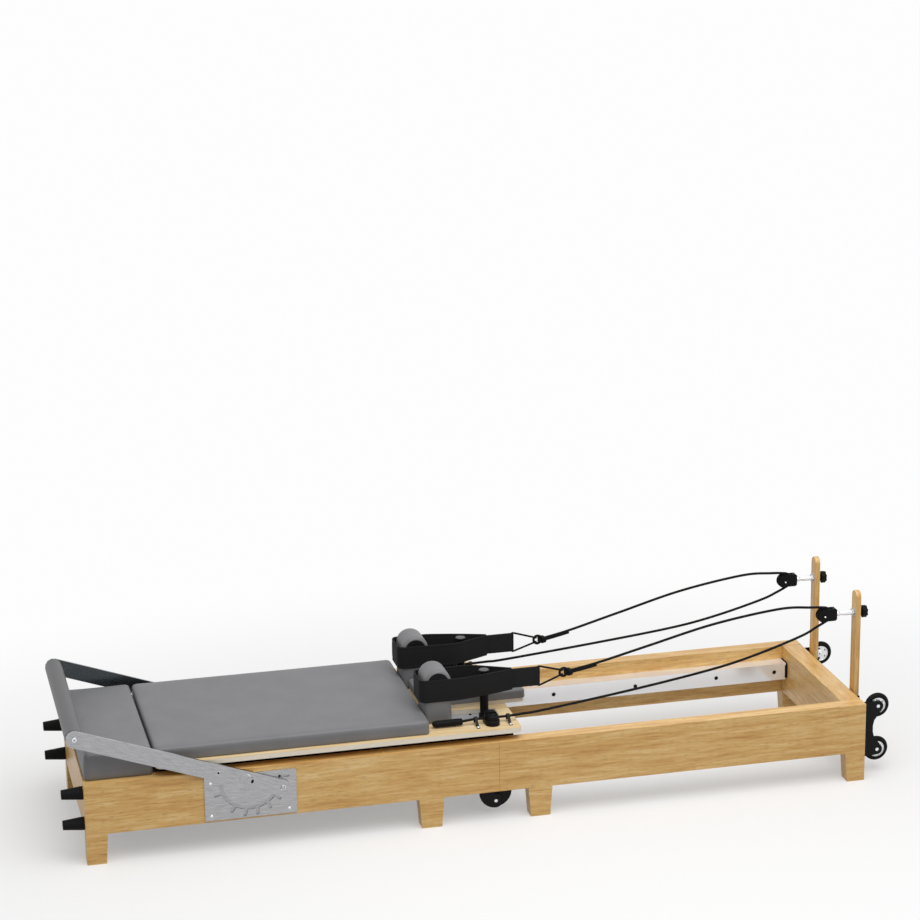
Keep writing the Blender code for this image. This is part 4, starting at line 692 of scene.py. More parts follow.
def route_frames(points, closed=False):
    """Unit vectors across a route at each of its points, turned as little as can be."""
    count = len(points)
    headings = []
    for index in range(count):
        before = points[(index - 1) % count] if closed else points[max(index - 1, 0)]
        after = points[(index + 1) % count] if closed else points[min(index + 1, count - 1)]
        headings.append((after - before).normalized())
    side = headings[0].orthogonal().normalized()
    frames = []
    for heading in headings:
        side = (side - heading * side.dot(heading)).normalized()
        frames.append((side, heading.cross(side)))
    return frames


def skin(name, corners, sides, lengths, span, closed=False):
    """A piece whose walls join rings of corners, with its UV map in metres along and across.

    lengths holds the way from each ring to the next, and span gives what the UV map holds
    across at the two edges of a wall.
    """
    faces, pairs = [], []
    travelled = 0.0
    count = len(corners) // sides
    for row, length in enumerate(lengths):
        here, there = row * sides, (row + 1) % count * sides
        for index in range(sides):
            beside = (index + 1) % sides
            left, right = span(row, index, beside)
            faces.append((here + index, here + beside, there + beside, there + index))
            further = travelled + length
            pairs += [(travelled, left), (travelled, right), (further, right), (further, left)]
        travelled += length
    if not closed:
        faces.append(tuple(reversed(range(sides))))
        faces.append(tuple(range((count - 1) * sides, count * sides)))
        pairs += [(0.0, 0.0)] * (2 * sides)
    return mesh_piece(name, corners, faces, pairs)


def tube(name, points, radius, sides=12, closed=False):
    """A round tube along points, with its UV map in metres round and along."""
    corners = []
    for point, (side, other) in zip(points, route_frames(points, closed)):
        for index in range(sides):
            angle = math.tau * index / sides
            corners.append(point + side * math.cos(angle) * radius + other * math.sin(angle) * radius)
    facet = math.tau * radius / sides

    def round_way(row, index, beside):
        return index * facet, (index + 1) * facet

    lengths = lengths_along(points + points[:1] if closed else points)
    piece = skin(name, corners, sides, lengths, round_way, closed)
    smooth(piece, 50)
    return piece


def bolt_head(name, centre, axis, radius, height, sign=1):
    """A pan head with a round socket, standing out along the axis on the side of the sign."""
    shares = ((0.0, 1.0), (0.55, 1.0), (0.90, 0.86), (1.0, 0.66), (1.0, 0.50), (0.35, 0.47))
    return turned(name, centre, axis, [(sign * height * up, radius * wide) for up, wide in shares], 20)


def dome(name, centre, axis, radius, height, sign=1):
    """A domed head or cap, standing out along the axis on the side of the sign."""
    shares = ((0.0, 1.0), (0.30, 1.0), (0.62, 0.88), (0.86, 0.64), (0.97, 0.36), (1.0, 0.12))
    return turned(name, centre, axis, [(sign * height * up, radius * wide) for up, wide in shares], 28)


def ring(name, centre, axis, section, steps=32):
    """A turned piece with a bore: its closed section of (radius, place) points spun round the axis."""
    deselect()
    bpy.ops.mesh.primitive_circle_add(vertices=len(section), radius=0.1, fill_type="NOTHING")
    piece = named(name)
    for vertex, (radius, place) in zip(piece.data.vertices, section):
        vertex.co = (radius, 0, place)
    bpy.ops.object.mode_set(mode="EDIT")
    bpy.ops.mesh.select_all(action="SELECT")
    bpy.ops.mesh.spin(steps=steps, angle=math.tau, center=(0, 0, 0), axis=(0, 0, 1))
    bpy.ops.object.mode_set(mode="OBJECT")
    settle(piece, Matrix.Translation(centre) @ AXIS_TURNS[axis])
    smooth(piece)
    return piece


def drilled(piece, cutter):
    """Takes the cutter's shape out of a piece."""
    applied(piece, "BOOLEAN", operation="DIFFERENCE", solver="EXACT", object=cutter)
    bpy.data.objects.remove(cutter)
    smooth(piece)
    return piece


def copied(master, name, place):
    """A copy of a modelled piece with its own mesh."""
    copy = master.copy()
    copy.data = master.data.copy()
    copy.data.transform(place)
    copy.name = name
    bpy.context.collection.objects.link(copy)
    return copy


# Ropes


def rope_paths(sign):
    """The four stretches of one rope: strap side, round the sheave, back to the carriage, and on it."""
    turn_points = arc((SHEAVE[0], SHEAVE[2]), ROPE_WRAP_RADIUS, ROPE_WRAP_START, ROPE_WRAP_END, 12)
    wrap = [(x, SHEAVE[1], z) for x, z in turn_points]
    whole = smooth_route([*ROPE_STRAP_SIDE, *wrap, *ROPE_BOARD_SIDE], ROPE_STEP)
    turn = max(range(len(whole)), key=lambda index: whole[index].x)
    first = min(range(turn), key=lambda index: abs(whole[index].x - ROPE_LEAD_X))
    second = min(range(turn, len(whole)), key=lambda index: abs(whole[index].x - ROPE_LEAD_X))
    third = min(range(turn, len(whole)), key=lambda index: abs(whole[index].x - ROPE_REST_X))
    world = [spot(point.x, sign * point.y, point.z) for point in whole]
    return {
        "strap_side": world[:first + 1],
        "wrap": world[first:second + 1],
        "board_side": world[second:third + 1],
        "on_carriage": world[third:],
    }


def squash_rope(piece):
    """Gives the piece a mesh of its own."""
    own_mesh(piece)


def add_rope(side, sign):
    """One rope in four stretches: the one on the carriage rides with it, the wrap round the sheave stays in
    place, and the other two ride with the head frame.
    """
    radius = bpy.context.scene.reformer_sizes.rope_diameter / 2
    paths = rope_paths(sign)
    for stretch, path in paths.items():
        piece = tube(f"rope_{stretch}_{side}", path, radius, 14)
        if stretch == "wrap":
            piece.data.materials.append(FINISHES["rope"])
            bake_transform(piece)
        else:
            body = "carriage" if stretch == "on_carriage" else "head_frame"
            fit(piece, body, "rope", [f"rope_{side}"] if stretch == "strap_side" else [])
        if stretch == "strap_side":
            squash_rope(piece)
        if stretch == "board_side":
            squash_rope(piece)
    add_rope_knot(side, sign)
    add_rope_sleeve(side, paths["on_carriage"][-1])


def add_rope_knot(side, sign):
    """The cord triangle on the webbing's end, the round knot and the doubled strand after it."""
    x, y, z = ROPE_STRAP_SIDE[0]
    knot = spot(x, sign * y, z)
    corner_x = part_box(f"strap_{side}")[1].x - 0.001
    top, bottom = (Vector((corner_x, sign * STRAP_Y, height)) for height in (0.4270, 0.3640))
    above, below = (knot + Vector((-0.004, 0, way)) for way in (0.006, -0.006))
    legs = smooth_route([above, above.lerp(top, 0.5), top], 0.01)
    legs += smooth_route([top.lerp(bottom, 0.1), bottom.lerp(top, 0.1)], 0.01)
    legs += smooth_route([bottom, bottom.lerp(below, 0.5), below], 0.01)
    bar = [bottom.lerp(top, index / 8) + Vector((-0.001, 0, 0)) for index in range(9)]
    parts = [tube("triangle", legs, 0.0031, 10), tube("bar", bar, 0.0044)]
    for swing, shift, wide in ((8, -0.002, 0.0125), (-58, 0.011, 0.0105), (-66, 0.018, 0.0090)):
        turn = Matrix.Rotation(math.radians(-20), 3, "Y") @ Matrix.Rotation(math.radians(swing), 3, "Z")
        centre = knot + Vector((shift, 0, 0))
        loop = [centre + turn @ Vector((out, 0, up)) for out, up in arc((0, 0), wide, 0, 360, 28)[:-1]]
        parts.append(tube("ring", loop, 0.0042, 10, closed=True))
    strand = smooth_route([spot(x, sign * y, z) for x, y, z in ROPE_STRAP_SIDE[:3]], ROPE_STEP)
    end_x = ROPE_STRAP_SIDE[1][0] + SEAM_X + 0.002
    doubled = [point + Vector((0, 0, -0.0062)) for point in strand if point.x < end_x]
    parts.append(tube("doubled", doubled, 0.0044))
    piece = joined(f"rope_knot_{side}", parts)
    fit(piece, "head_frame", "rope")
    squash_rope(piece)


def add_rope_sleeve(side, end):
    """Rubber sleeve that stops the rope's end on the carriage board."""
    rings = (
        (0.003, 0.0060), (0.002, 0.0088), (-0.001, 0.0100), (-0.010, 0.0103), (-0.074, 0.0103),
        (-0.083, 0.0095), (-0.088, 0.0078), (-0.0905, 0.0050),
    )
    sleeve = turned(f"rope_sleeve_{side}", end, "X", rings, 28)
    fit(sleeve, "carriage", "rubber")


# Foot straps


def strap_line():
    """Plan points of the band's middle for the far side, read from the shoulder rest it goes round."""
    outer_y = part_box("shoulder_rest_far")[1].y + 0.0028
    inner_y = 0.1015
    corner = 0.019
    left = STRAP_FOOT_X + SEAM_X
    right = STRAP_JOIN_X + SEAM_X
    join, join_back = (right, 0.1615), (right, 0.1545)
    bend, inner_bend = (-0.100 + SEAM_X, outer_y), (-0.040 + SEAM_X, inner_y)
    points = [join]
    for share in (0.25, 0.5, 0.75):
        bow = 0.004 * math.sin(math.pi * share)
        points.append((join[0] + (bend[0] - join[0]) * share, join[1] + (bend[1] - join[1]) * share + bow))
    points += [bend, ((bend[0] + left + corner) / 2, outer_y)]
    points += arc((left + corner, outer_y - corner), corner, 90, 180, 6)
    points += arc((left + corner, inner_y + corner), corner, 180, 270, 6)
    points += [((inner_bend[0] + left + corner) / 2, inner_y), inner_bend]
    points += [((inner_bend[0] + right) / 2, (inner_y + join_back[1]) / 2 - 0.002), join_back]
    return points


def band_edges(x):
    """The band's lower and upper edge, which close in towards the join."""
    share = (x - SEAM_X - STRAP_FOOT_X) / (STRAP_JOIN_X - STRAP_FOOT_X)
    return 0.3615 - 0.0005 * share, 0.433 - 0.004 * share


def strip(name, line, corners):
    """A band of cloth along a line, whose UV map follows its length and its height."""
    sides = len(corners) // len(line)

    def heights(row, index, beside):
        return corners[row * sides + index].z, corners[row * sides + beside].z

    piece = skin(name, corners, sides, lengths_along(line), heights)
    settle(piece)
    return piece


def add_band(side, sign):
    """Padded band: two faces over foam, bound at both edges and stitched beside the binding."""
    line = smooth_route([Vector((x, y, 0)) for x, y in strap_line()], 0.006)
    section = (
        (0.000, 0.0012), (0.0015, 0.0021), (0.0050, 0.0022), (0.0075, 0.0015), (0.0100, 0.0019),
        (0.0160, 0.0025), (0.0300, 0.0026),
    )
    corners = []
    for index, point in enumerate(line):
        heading = heading_at(line, index)
        across = Vector((-heading.y, heading.x, 0))
        low, high = band_edges(point.x)
        profile = [(low + distance, half) for distance, half in section]
        profile += [(high - distance, half) for distance, half in reversed(section)]
        for face, rows in ((1, profile), (-1, profile[::-1])):
            for z, half in rows:
                place = point + across * half * face
                corners.append(Vector((place.x, sign * place.y, z)))
    piece = strip(f"strap_band_{side}", line, corners)
    smooth(piece, 50)
    fit(piece, "carriage", "band", [f"strap_{side}"])
    add_band_stitches(side, sign, line)


def add_band_stitches(side, sign, line):
    """Rows of stitches 6 mm apart beside the bindings, on both faces."""
    step = 0.0060
    run = 0.0
    marks = []
    for start, end in zip(line, line[1:]):
        length = (end - start).length
        while run < length:
            marks.append((start.lerp(end, run / length), (end - start).normalized()))
            run += step
        run -= length
    points, faces = [], []
    up = Vector((0, 0, 0.0005))
    for place, heading in marks:
        half = heading * 0.0019
        low, high = band_edges(place.x)
        for z in (low + 0.0075, high - 0.0075):
            for face in (1, -1):
                across = Vector((-heading.y, heading.x, 0)) * face
                base = place + across * 0.0014
                top = base + across * 0.0007
                foot = [base - half - up, base - half + up, base + half + up, base + half - up]
                first = len(points)
                for corner in (*foot, top - half * 0.7, top + half * 0.7):
                    points.append(Vector((corner.x, sign * corner.y, corner.z + z)))
                faces += [
                    (first, first + 1, first + 4), (first + 1, first + 2, first + 5, first + 4),
                    (first + 2, first + 3, first + 5), (first + 3, first, first + 4, first + 5),
                    (first, first + 3, first + 2, first + 1),
                ]
    piece = mesh_piece(f"strap_stitches_{side}", points, faces)
    settle(piece)
    fit(piece, "carriage", "stitch")


def add_webbing(side, sign):
    """Webbing folded double from inside the band's end to the cord triangle, with two sewn bars."""
    start = STRAP_JOIN_X - 0.010 + SEAM_X
    end = 0.167 + SEAM_X
    low, high = 0.3655, 0.4255
    half = 0.0011
    leg = ((start, 0.0033), (end - 0.010, 0.0036), (end - 0.004, 0.0042), (end - 0.0012, 0.0026))
    route = [(x, STRAP_Y + y, 0) for x, y in leg] + [(end, STRAP_Y, 0)]
    route += [(x, STRAP_Y - y, 0) for x, y in reversed(leg)]
    line = smooth_route(route, 0.004)
    corners = []
    for index, point in enumerate(line):
        heading = heading_at(line, index)
        across = Vector((-heading.y, heading.x, 0))
        for offset, z in ((half, low), (half, high), (-half, high), (-half, low)):
            place = point + across * offset
            corners.append(Vector((place.x, sign * place.y, z)))
    piece = strip(f"strap_webbing_{side}", line, corners)
    bevelled(piece, 0.0006, 1)
    fit(piece, "carriage", "webbing")
    bars = []
    for x in (0.092, 0.152):
        for face in (1, -1):
            y = sign * STRAP_Y + face * 0.0048
            bars.append(block(
                "bar", spot(x - 0.0012, y - 0.0007, low + 0.005), spot(x + 0.0012, y + 0.0007, high - 0.005),
                0.0004))
    fit(joined(f"strap_bars_{side}", bars), "carriage", "stitch")


# Cushions


def swell(piece, cap, flat_below):
    """Blows the cushion up with the cloth solver, holding what lies on its board."""
    rest = [vertex.co.copy() for vertex in piece.data.vertices]
    group = piece.vertex_groups.new(name="held")
    group.add([v.index for v in piece.data.vertices if v.co.z < flat_below], 1.0, "REPLACE")
    cloth = piece.modifiers.new("stuffing", "CLOTH")
    cloth.settings.quality = 4
    cloth.settings.use_pressure = True
    cloth.settings.uniform_pressure_force = 4.0
    cloth.settings.effector_weights.gravity = 0.0
    cloth.settings.vertex_group_mass = "held"
    cloth.settings.tension_stiffness = 25
    cloth.settings.compression_stiffness = 25
    scene = bpy.context.scene
    for index in range(1, 21):
        scene.frame_set(index)
    graph = bpy.context.evaluated_depsgraph_get()
    blown = piece.evaluated_get(graph).to_mesh()
    moved = [vertex.co.copy() for vertex in blown.vertices]
    piece.evaluated_get(graph).to_mesh_clear()
    piece.modifiers.remove(cloth)
    scene.frame_set(1)
    for vertex, start, end in zip(piece.data.vertices, rest, moved):
        step = end - start
        if step.length > cap:
            step = step * (cap / step.length)
        vertex.co = start + step


def upholstered(piece, low_z, voxel, cap, passes):
    """Remeshes a cushion, blows it up a little and evens out its surface."""
    applied(piece, "REMESH", mode="VOXEL", voxel_size=voxel)
    swell(piece, cap, low_z + 0.0015)
    applied(piece, "SMOOTH", iterations=passes)
    bpy.ops.object.shade_smooth()


def cushion(name, low, high, side_edge, top_edge, voxel):
    """Upholstered foam: a rounded block, remeshed, blown up a little and flat on its board."""
    deselect()
    inset = CUSHION_SWELL * 0.8
    size = [high[0] - low[0] - 2 * inset, high[1] - low[1] - 2 * inset, high[2] - low[2] - inset]
    middle = [(a + b) / 2 for a, b in zip(low, high)]
    middle[2] = low[2] + size[2] / 2
    bpy.ops.mesh.primitive_cube_add(size=1, location=middle, scale=size)
    piece = named(name)
    settle(piece)
    bpy.ops.object.mode_set(mode="EDIT")
    bpy.ops.mesh.select_mode(type="EDGE")
    for upright in (True, False):
        bpy.ops.mesh.select_all(action="DESELECT")
        edit = bmesh.from_edit_mesh(piece.data)
        top = max(vertex.co.z for vertex in edit.verts)
        for edge in edit.edges:
            a, b = (vertex.co for vertex in edge.verts)
            stands = abs(a.z - b.z) > size[2] * 0.5
            lies_on_top = min(a.z, b.z) > top - 0.0005
            edge.select_set(stands if upright else lies_on_top)
        bmesh.update_edit_mesh(piece.data)
        bpy.ops.mesh.bevel(offset=side_edge if upright else top_edge, segments=6, profile=0.5)
    bpy.ops.object.mode_set(mode="OBJECT")
    upholstered(piece, low[2], voxel, CUSHION_SWELL, 2)
    fill_box(piece, low, high)
    return piece


def fill_box(piece, low, high):
    """Spreads the piece's mesh evenly until it reaches both corners of the box."""
    for axis in range(3):
        values = [vertex.co[axis] for vertex in piece.data.vertices]
        least, span = min(values), max(values) - min(values)
        for vertex in piece.data.vertices:
            vertex.co[axis] = low[axis] + (vertex.co[axis] - least) / span * (high[axis] - low[axis])


def add_pads():
    """The two flat pads and the headrest's."""
    for name, node, body, edges, voxel in (
        ("cushion_carriage", "carriage_pad", "carriage", (0.017, 0.012), 0.0055),
        ("cushion_platform", "platform_pad", "platform", (0.014, 0.009), 0.0050),
        ("cushion_headrest", "headrest_pad", "headrest", (0.011, 0.007), 0.0045),
    ):
        low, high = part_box(node)
        # The picture shows these two ends a little further out than the solids
        if node == "carriage_pad":
            low.x -= 0.0032
        if node == "platform_pad":
            high.x += 0.0020
        piece = cushion(name, low, high, *edges, voxel)
        fit(piece, body, "leather", [node])


def add_shoulder_rests():
    """Upholstered arches, with a black panel in the round of both end faces."""
    for side in SIDES:
        low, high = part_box(f"shoulder_rest_{side}")
        radius = (high.x - low.x) / 2
        centre = ((low.x + high.x) / 2, high.z - radius)
        outline = [(low.x, low.z), *arc(centre, radius, 180, 0, 24), (high.x, low.z)]
        piece = plate(f"cushion_shoulder_{side}", "Y", outline, low.y, high.y)
        bevelled(piece, 0.009, 4)
        upholstered(piece, low.z, 0.0035, 0.0012, 3)
        fit(piece, "carriage", "leather", [f"shoulder_rest_{side}"])
        left, right = centre[0] - PANEL_RADIUS, centre[0] + PANEL_RADIUS
        foot = centre[1] - 0.004
        panel = [(left, foot), *arc(centre, PANEL_RADIUS, 180, 0, 16), (right, foot)]
        panels = [
            plate("panel", "Y", panel, low.y - 0.0016, low.y + 0.002, 0.0008),
            plate("panel", "Y", panel, high.y - 0.002, high.y + 0.0003, 0.0002),
        ]
        fit(joined(f"shoulder_panel_{side}", panels), "carriage", "black_plastic")


# Frame fittings


def add_cones():
    """Rubber cones on the foot end of both rails, two on each."""
    rail_end_x, rail_y, heights = -1.250, 0.2815, (0.123, 0.219)
    rings = (
        (0, 0.0185), (-0.0012, 0.0198), (-0.0062, 0.0199), (-0.0070, 0.0198), (-0.0600, 0.0145),
        (-0.0634, 0.0142), (-0.0640, 0.0132), (-0.0641, 0.0040),
    )
    master = turned("cone", (0, 0, 0), "X", rings, 36)
    places = [
        Matrix.Translation(spot(rail_end_x, sign * rail_y, z)) for sign in SIDES.values() for z in heights]
    fit(repeated(master, "rubber_cones", places), "foot_frame", "rubber")


def add_spring_bar_fittings():
    """Plated sleeves over the five pegs, and the screws that hold the bar's top flange."""
    flange_z, pegs_x, screws_x, screw_y = 0.2221, -1.1567, -1.165, 0.190
    rings = (
        (0, 0.0066), (0.0115, 0.0066), (0.0120, 0.0095), (0.0158, 0.0095), (0.0164, 0.0085),
        (0.0164, 0.0030),
    )
    master = turned("peg", (0, 0, 0), "Z", rings, 28)
    places = [
        Matrix.Translation(spot(pegs_x, index * SPRING_SPACING, flange_z)) for index in range(-2, 3)]
    fit(repeated(master, "spring_pegs", places), "foot_frame", "zinc")
    master = bolt_head("bar_screw", (0, 0, 0), "Z", 0.0050, 0.0028)
    places = [Matrix.Translation(spot(screws_x, sign * screw_y, flange_z)) for sign in SIDES.values()]
    fit(repeated(master, "spring_bar_screws", places), "foot_frame", "dark_bolt")


def add_track_fittings():
    """End caps of the tracks and the dark plugs in their inner faces."""
    cap_start, cap_end, lip_start, lip_end = 1.1102, 1.1158, 1.1072, 1.1106
    plug_z = 0.182
    section = (
        (0.2627, 0.1533), (0.2627, 0.2102), (0.2212, 0.2102), (0.2130, 0.2020), (0.2130, 0.1615),
        (0.2212, 0.1533),
    )
    caps = []
    for side, sign in SIDES.items():
        outline = [(sign * y, z) for y, z in section]
        caps.append(plate("cap", "X", outline, cap_start + SEAM_X, cap_end + SEAM_X, 0.0006))
        lip = box_corners(side, (lip_start, lip_end), (0.2130, TRACK_INNER_Y), (0.1600, 0.2035))
        caps.append(block("lip", *lip, 0.0004))
    fit(joined("track_caps", caps), "head_frame", "black_plastic")
    plugs = []
    for sign in SIDES.values():
        for x in TRACK_PLUGS_X:
            rings = [(sign * place, radius) for place, radius in (
                (0.0010, 0.0066), (-0.0001, 0.0066), (-0.0002, 0.0060), (-0.00025, 0.0044))]
            plugs.append(turned("plug", spot(x, sign * TRACK_INNER_Y, plug_z), "Y", rings, 24))
    fit(joined("track_plugs", plugs), "head_frame", "black_plastic")


def add_hinge_bolts():
    """Domed pivot bolts of the folding hinge."""
    leaf_y, pivot_z = 0.2627, 0.0444
    bolts = [
        dome("bolt", spot(0, sign * leaf_y, pivot_z), "Y", 0.0062, 0.0042, sign) for sign in SIDES.values()]
    fit(joined("hinge_bolts", bolts), "foot_frame", "zinc")


def add_risers():
    """Round-topped oak risers, each on a spacer and in a bent socket with two screws on either side."""
    foot_z, top_z = 0.105, 0.583
    low, high = RISER_FACES
    back, front = 1.1804, 1.1824
    inner, outer, ear = RISER_HALF + 0.0004, RISER_HALF + 0.0024, RISER_HALF + 0.0100
    section = (
        (back, -ear), (front, -ear), (front, -outer), (high + 0.0024, -outer), (high + 0.0024, outer),
        (front, outer), (front, ear), (back, ear), (back, inner), (high + 0.0004, inner),
        (high + 0.0004, -inner), (back, -inner),
    )
    top = arc((RISER_Y, top_z - RISER_HALF), RISER_HALF, 180, 0, 18)
    for side, sign in SIDES.items():
        whole = [(RISER_Y - RISER_HALF, foot_z), *top, (RISER_Y + RISER_HALF, foot_z)]
        outline = [(sign * y, z) for y, z in whole]
        riser = plate(f"oak_riser_{side}", "X", outline, low + SEAM_X, high + SEAM_X, 0.0016)
        fit(riser, "head_frame", "oak_z", [f"riser_{side}"])
        across = (RISER_Y - 0.018, RISER_Y + 0.018)
        spacer = block("spacer", *box_corners(side, (1.1802, low), across, (0.110, 0.240)), 0.0005)
        outline = [(x + SEAM_X, sign * (RISER_Y + y)) for x, y in section]
        parts = [spacer, plate("socket", "Z", outline, 0.142, 0.2375, 0.0004)]
        fit(joined(f"riser_socket_{side}", parts), "head_frame", "black_metal")
        screws = [
            bolt_head("screw", spot(front, sign * (RISER_Y + y), z), "X", 0.0034, 0.0020)
            for y in (-outer - 0.0042, outer + 0.0042) for z in (0.156, 0.224)]
        fit(joined(f"riser_screws_{side}", screws), "head_frame", "dark_bolt")


# Footbar fittings


def slot_outline(points, half):
    """Outline of a slot of constant width along a line of (x, z) points, with round ends."""
    left, right = [], []
    for index, point in enumerate(points):
        heading = heading_at(points, index)
        across = Vector((-heading.y, heading.x)) * half
        left.append(Vector(point) + across)
        right.append(Vector(point) - across)
    start, end = Vector(points[0]), Vector(points[-1])
    turns = [Matrix.Rotation(math.pi * share / 8, 2) for share in range(1, 8)]
    opening = [start + turn @ (left[0] - start) for turn in turns]
    closing = [end + turn @ (right[-1] - end) for turn in turns]
    return [tuple(point) for point in opening + right + closing + left[::-1]]


def add_slotted_plate(side):
    """The footbar's plate: an arc slot round the pivot with six hooked notches, and a short slot."""
    low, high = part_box(f"footbar_plate_{side}")
    sheet = plate("slotted", "Y", rectangle(low, high), low.y, high.y)
    pivot = (PIVOT[0] + SEAM_X, PIVOT[1])
    lines = [(arc(pivot, SLOT_RADIUS, SLOT_START, SLOT_END, 36), SLOT_HALF)]
    for angle, lean in NOTCHES:
        start = Vector(around(pivot, SLOT_RADIUS + 0.002, angle - lean * 0.25))
        way = Vector(around((0, 0), NOTCH_LENGTH, angle - lean))
        lines.append(([tuple(start), tuple(start + way)], NOTCH_HALF))
    lines.append(([(x + SEAM_X, z) for x, z in SHORT_SLOT], SHORT_SLOT_HALF))
    for line, half in lines:
        drilled(sheet, plate("cutter", "Y", slot_outline(line, half), low.y - 0.002, high.y + 0.002))
    bevelled(sheet, 0.0003, 1)
    sheet.name = f"slotted_plate_{side}"
    fit(sheet, "foot_frame", "steel", [f"footbar_plate_{side}"])


def add_plate_backing(side, sign):
    """Thin steel sheet behind the slotted plate, seen through its slots and made darker as painted shade,
    with the plate's screws and a dark piece of painted shade in the short slot's end.
    """
    sheet_y, sheet_thickness, screw_y = 0.31008, 0.00015, 0.3137
    outline = rectangle(*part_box(f"footbar_plate_{side}"), 0.003)
    reach = sorted((sign * sheet_y, sign * (sheet_y + sheet_thickness)))
    fit(plate(f"plate_backing_{side}", "Y", outline, *reach), "foot_frame", "backing_steel_painted_shade")
    screws = [dome("screw", spot(x, sign * screw_y, z), "Y", 0.0042, 0.0018, sign) for x, z in PLATE_SCREWS]
    fit(joined(f"plate_screws_{side}", screws), "foot_frame", "zinc")
    # Painted shade: a dark round piece fills the short slot's end, where the hole lies in shade
    rings = ((0, 0.0044), (sign * 0.0037, 0.0044))
    eye = turned(f"plate_slot_painted_shade_{side}", spot(-0.6732, sign * 0.31025, 0.2200), "Y", rings, 20)
    fit(eye, "foot_frame", "dark_bolt")


def add_arm_fittings(side, sign):
    """Domed pivot cap and lock pin, bright pieces of painted highlight on them and round the peep hole, dark
    pieces of painted shade in the cap's slot and the peep hole, and the grip's end bolt.
    """
    face = sign * ARM_OUTER_FACE
    cap = dome("cap", spot(PIVOT_CAP[0], face, PIVOT_CAP[1]), "Y", 0.0165, 0.0034, sign)
    pin = dome("pin", spot(LOCK_PIN[0], face, LOCK_PIN[1]), "Y", 0.0072, 0.0046, sign)
    fit(joined(f"pivot_cap_{side}", [cap, pin]), "footbar", "arm_steel")
    # Painted highlights: bright zinc crescents on the pivot cap and the lock pin and a bright ring round the
    # peep hole stand for glints of light; the grip's end bolt is joined to them
    bright = []
    for (x, z), inner, outer, start, end in (
        (PIVOT_CAP, 0.0161, 0.0186, -40, 62),
        (LOCK_PIN, 0.0074, 0.0090, -150, 90),
        (PEEP_HOLE, 0.0038, 0.0046, 0, 359),
    ):
        centre = (x + SEAM_X, z)
        outline = arc(centre, outer, start, end, 16) + arc(centre, inner, end, start, 16)
        bright.append(plate("rim", "Y", outline, *sorted((face, face + sign * 0.0009)), 0.0002))
    end_bolt = bolt_head("bolt", spot(-1.2696, face, 0.4010), "Y", 0.0078, 0.0046, sign)
    fit(joined(f"arm_painted_highlights_and_bolt_{side}", [*bright, end_bolt]), "footbar", "zinc")
    # Painted shade: dark pieces fill the pivot cap's slot and the peep hole, where only shade is seen
    slot = []
    for index in range(20):
        angle = math.tau * index / 20
        slot.append((
            -0.7558 + SEAM_X + 0.0042 * math.cos(angle) + 0.0016 * math.sin(angle),
            0.2166 + 0.0062 * math.sin(angle)))
    rings = ((0, 0.0036), (sign * 0.0059, 0.0036))
    dark = [
        plate("slot", "Y", slot, *sorted((face, face + sign * 0.0043))),
        turned("hole", spot(PEEP_HOLE[0], sign * 0.3145, PEEP_HOLE[1]), "Y", rings, 18),
    ]
    fit(joined(f"arm_painted_shade_pieces_{side}", dark), "footbar", "black_plastic")


# Springs


def add_spring(index, colour):
    """A close coil with a hooked end at the anchor, and a straight tail with a round handle."""
    y = (index - 3) * SPRING_SPACING
    z = 0.165
    anchor_x, coil_start, coil_end, handle_x = -0.560, -0.583, -0.950, -1.104
    pitch, coil_radius, wire_radius = 0.0029, 0.0093, 0.0012
    steps = round((coil_start - coil_end) / pitch) * COIL_CORNERS
    points = [spot(anchor_x, y, z), spot(anchor_x - 0.012, y, z), spot(anchor_x - 0.018, y, z + 0.004)]
    for step in range(steps + 1):
        x = coil_start + (coil_end - coil_start) * step / steps
        height, across = around((z, y), coil_radius, 360 * step / COIL_CORNERS)
        points.append(spot(x, across, height))
    points += [spot(coil_end - 0.006, y, z + 0.004), spot(coil_end - 0.012, y, z), spot(-1.092, y, z)]
    coil = tube(f"spring_coil_{index}", points, wire_radius, 6)
    fit(coil, "carriage", "spring_wire", [f"spring_{index}"])
    handle = turned(f"spring_handle_{index}", spot(handle_x, y, z - 0.0055), "Z", (
        (0.0, 0.0135), (0.0012, 0.0152), (0.0030, 0.0155), (0.0080, 0.0155), (0.0098, 0.0152),
        (0.0110, 0.0135), (0.0110, 0.0080), (0.0098, 0.0072)))
    fit(handle, "carriage", colour)
    centre = dome(f"spring_eye_{index}", spot(handle_x, y, z + 0.0042), "Z", 0.0060, 0.0012)
    fit(centre, "carriage", "dark_bolt")


# Carriage fittings


def add_post_fittings(side, sign):
    """Grey disc on the strap post's cap, and the bright plate under the board's cut-out with its bolts."""
    y = sign * 0.151
    cover_z, disc_z, sheet_z, sheet_top = 0.2930, 0.4298, 0.2753, 0.2757
    cover = turned(f"post_cover_{side}", spot(POST_X, y, cover_z), "Z", (
        (0.0, 0.0120), (0.0010, 0.0132), (0.0640, 0.0132), (0.0650, 0.0122)))
    fit(cover, "carriage", "black_plastic")
    disc = turned(f"post_disc_{side}", spot(POST_X, y, disc_z), "Z", (
        (0.0, 0.0142), (0.0010, 0.0148), (0.0015, 0.0144), (0.0017, 0.0120)), 36)
    fit(disc, "carriage", "cap_grey")
    outline = ((0.0322, 0.1208), (0.0322, 0.1822), (-0.0500, 0.1982), (-0.1242, 0.1982), (-0.1242, 0.1070))
    outline = [(x + SEAM_X, sign * across) for x, across in outline]
    sheet = plate(f"post_sheet_{side}", "Z", outline, sheet_z, sheet_top)
    fit(sheet, "carriage", "mirror_plate")
    bolts = [
        bolt_head("bolt", spot(x, sign * across, sheet_top - 0.0001), "Z", 0.0042, 0.0024)
        for x, across in ((0.0175, 0.174), (0.019, 0.125), (-0.043, 0.121), (-0.041, 0.190))]
    fit(joined(f"post_bolts_{side}", bolts), "carriage", "dark_bolt")


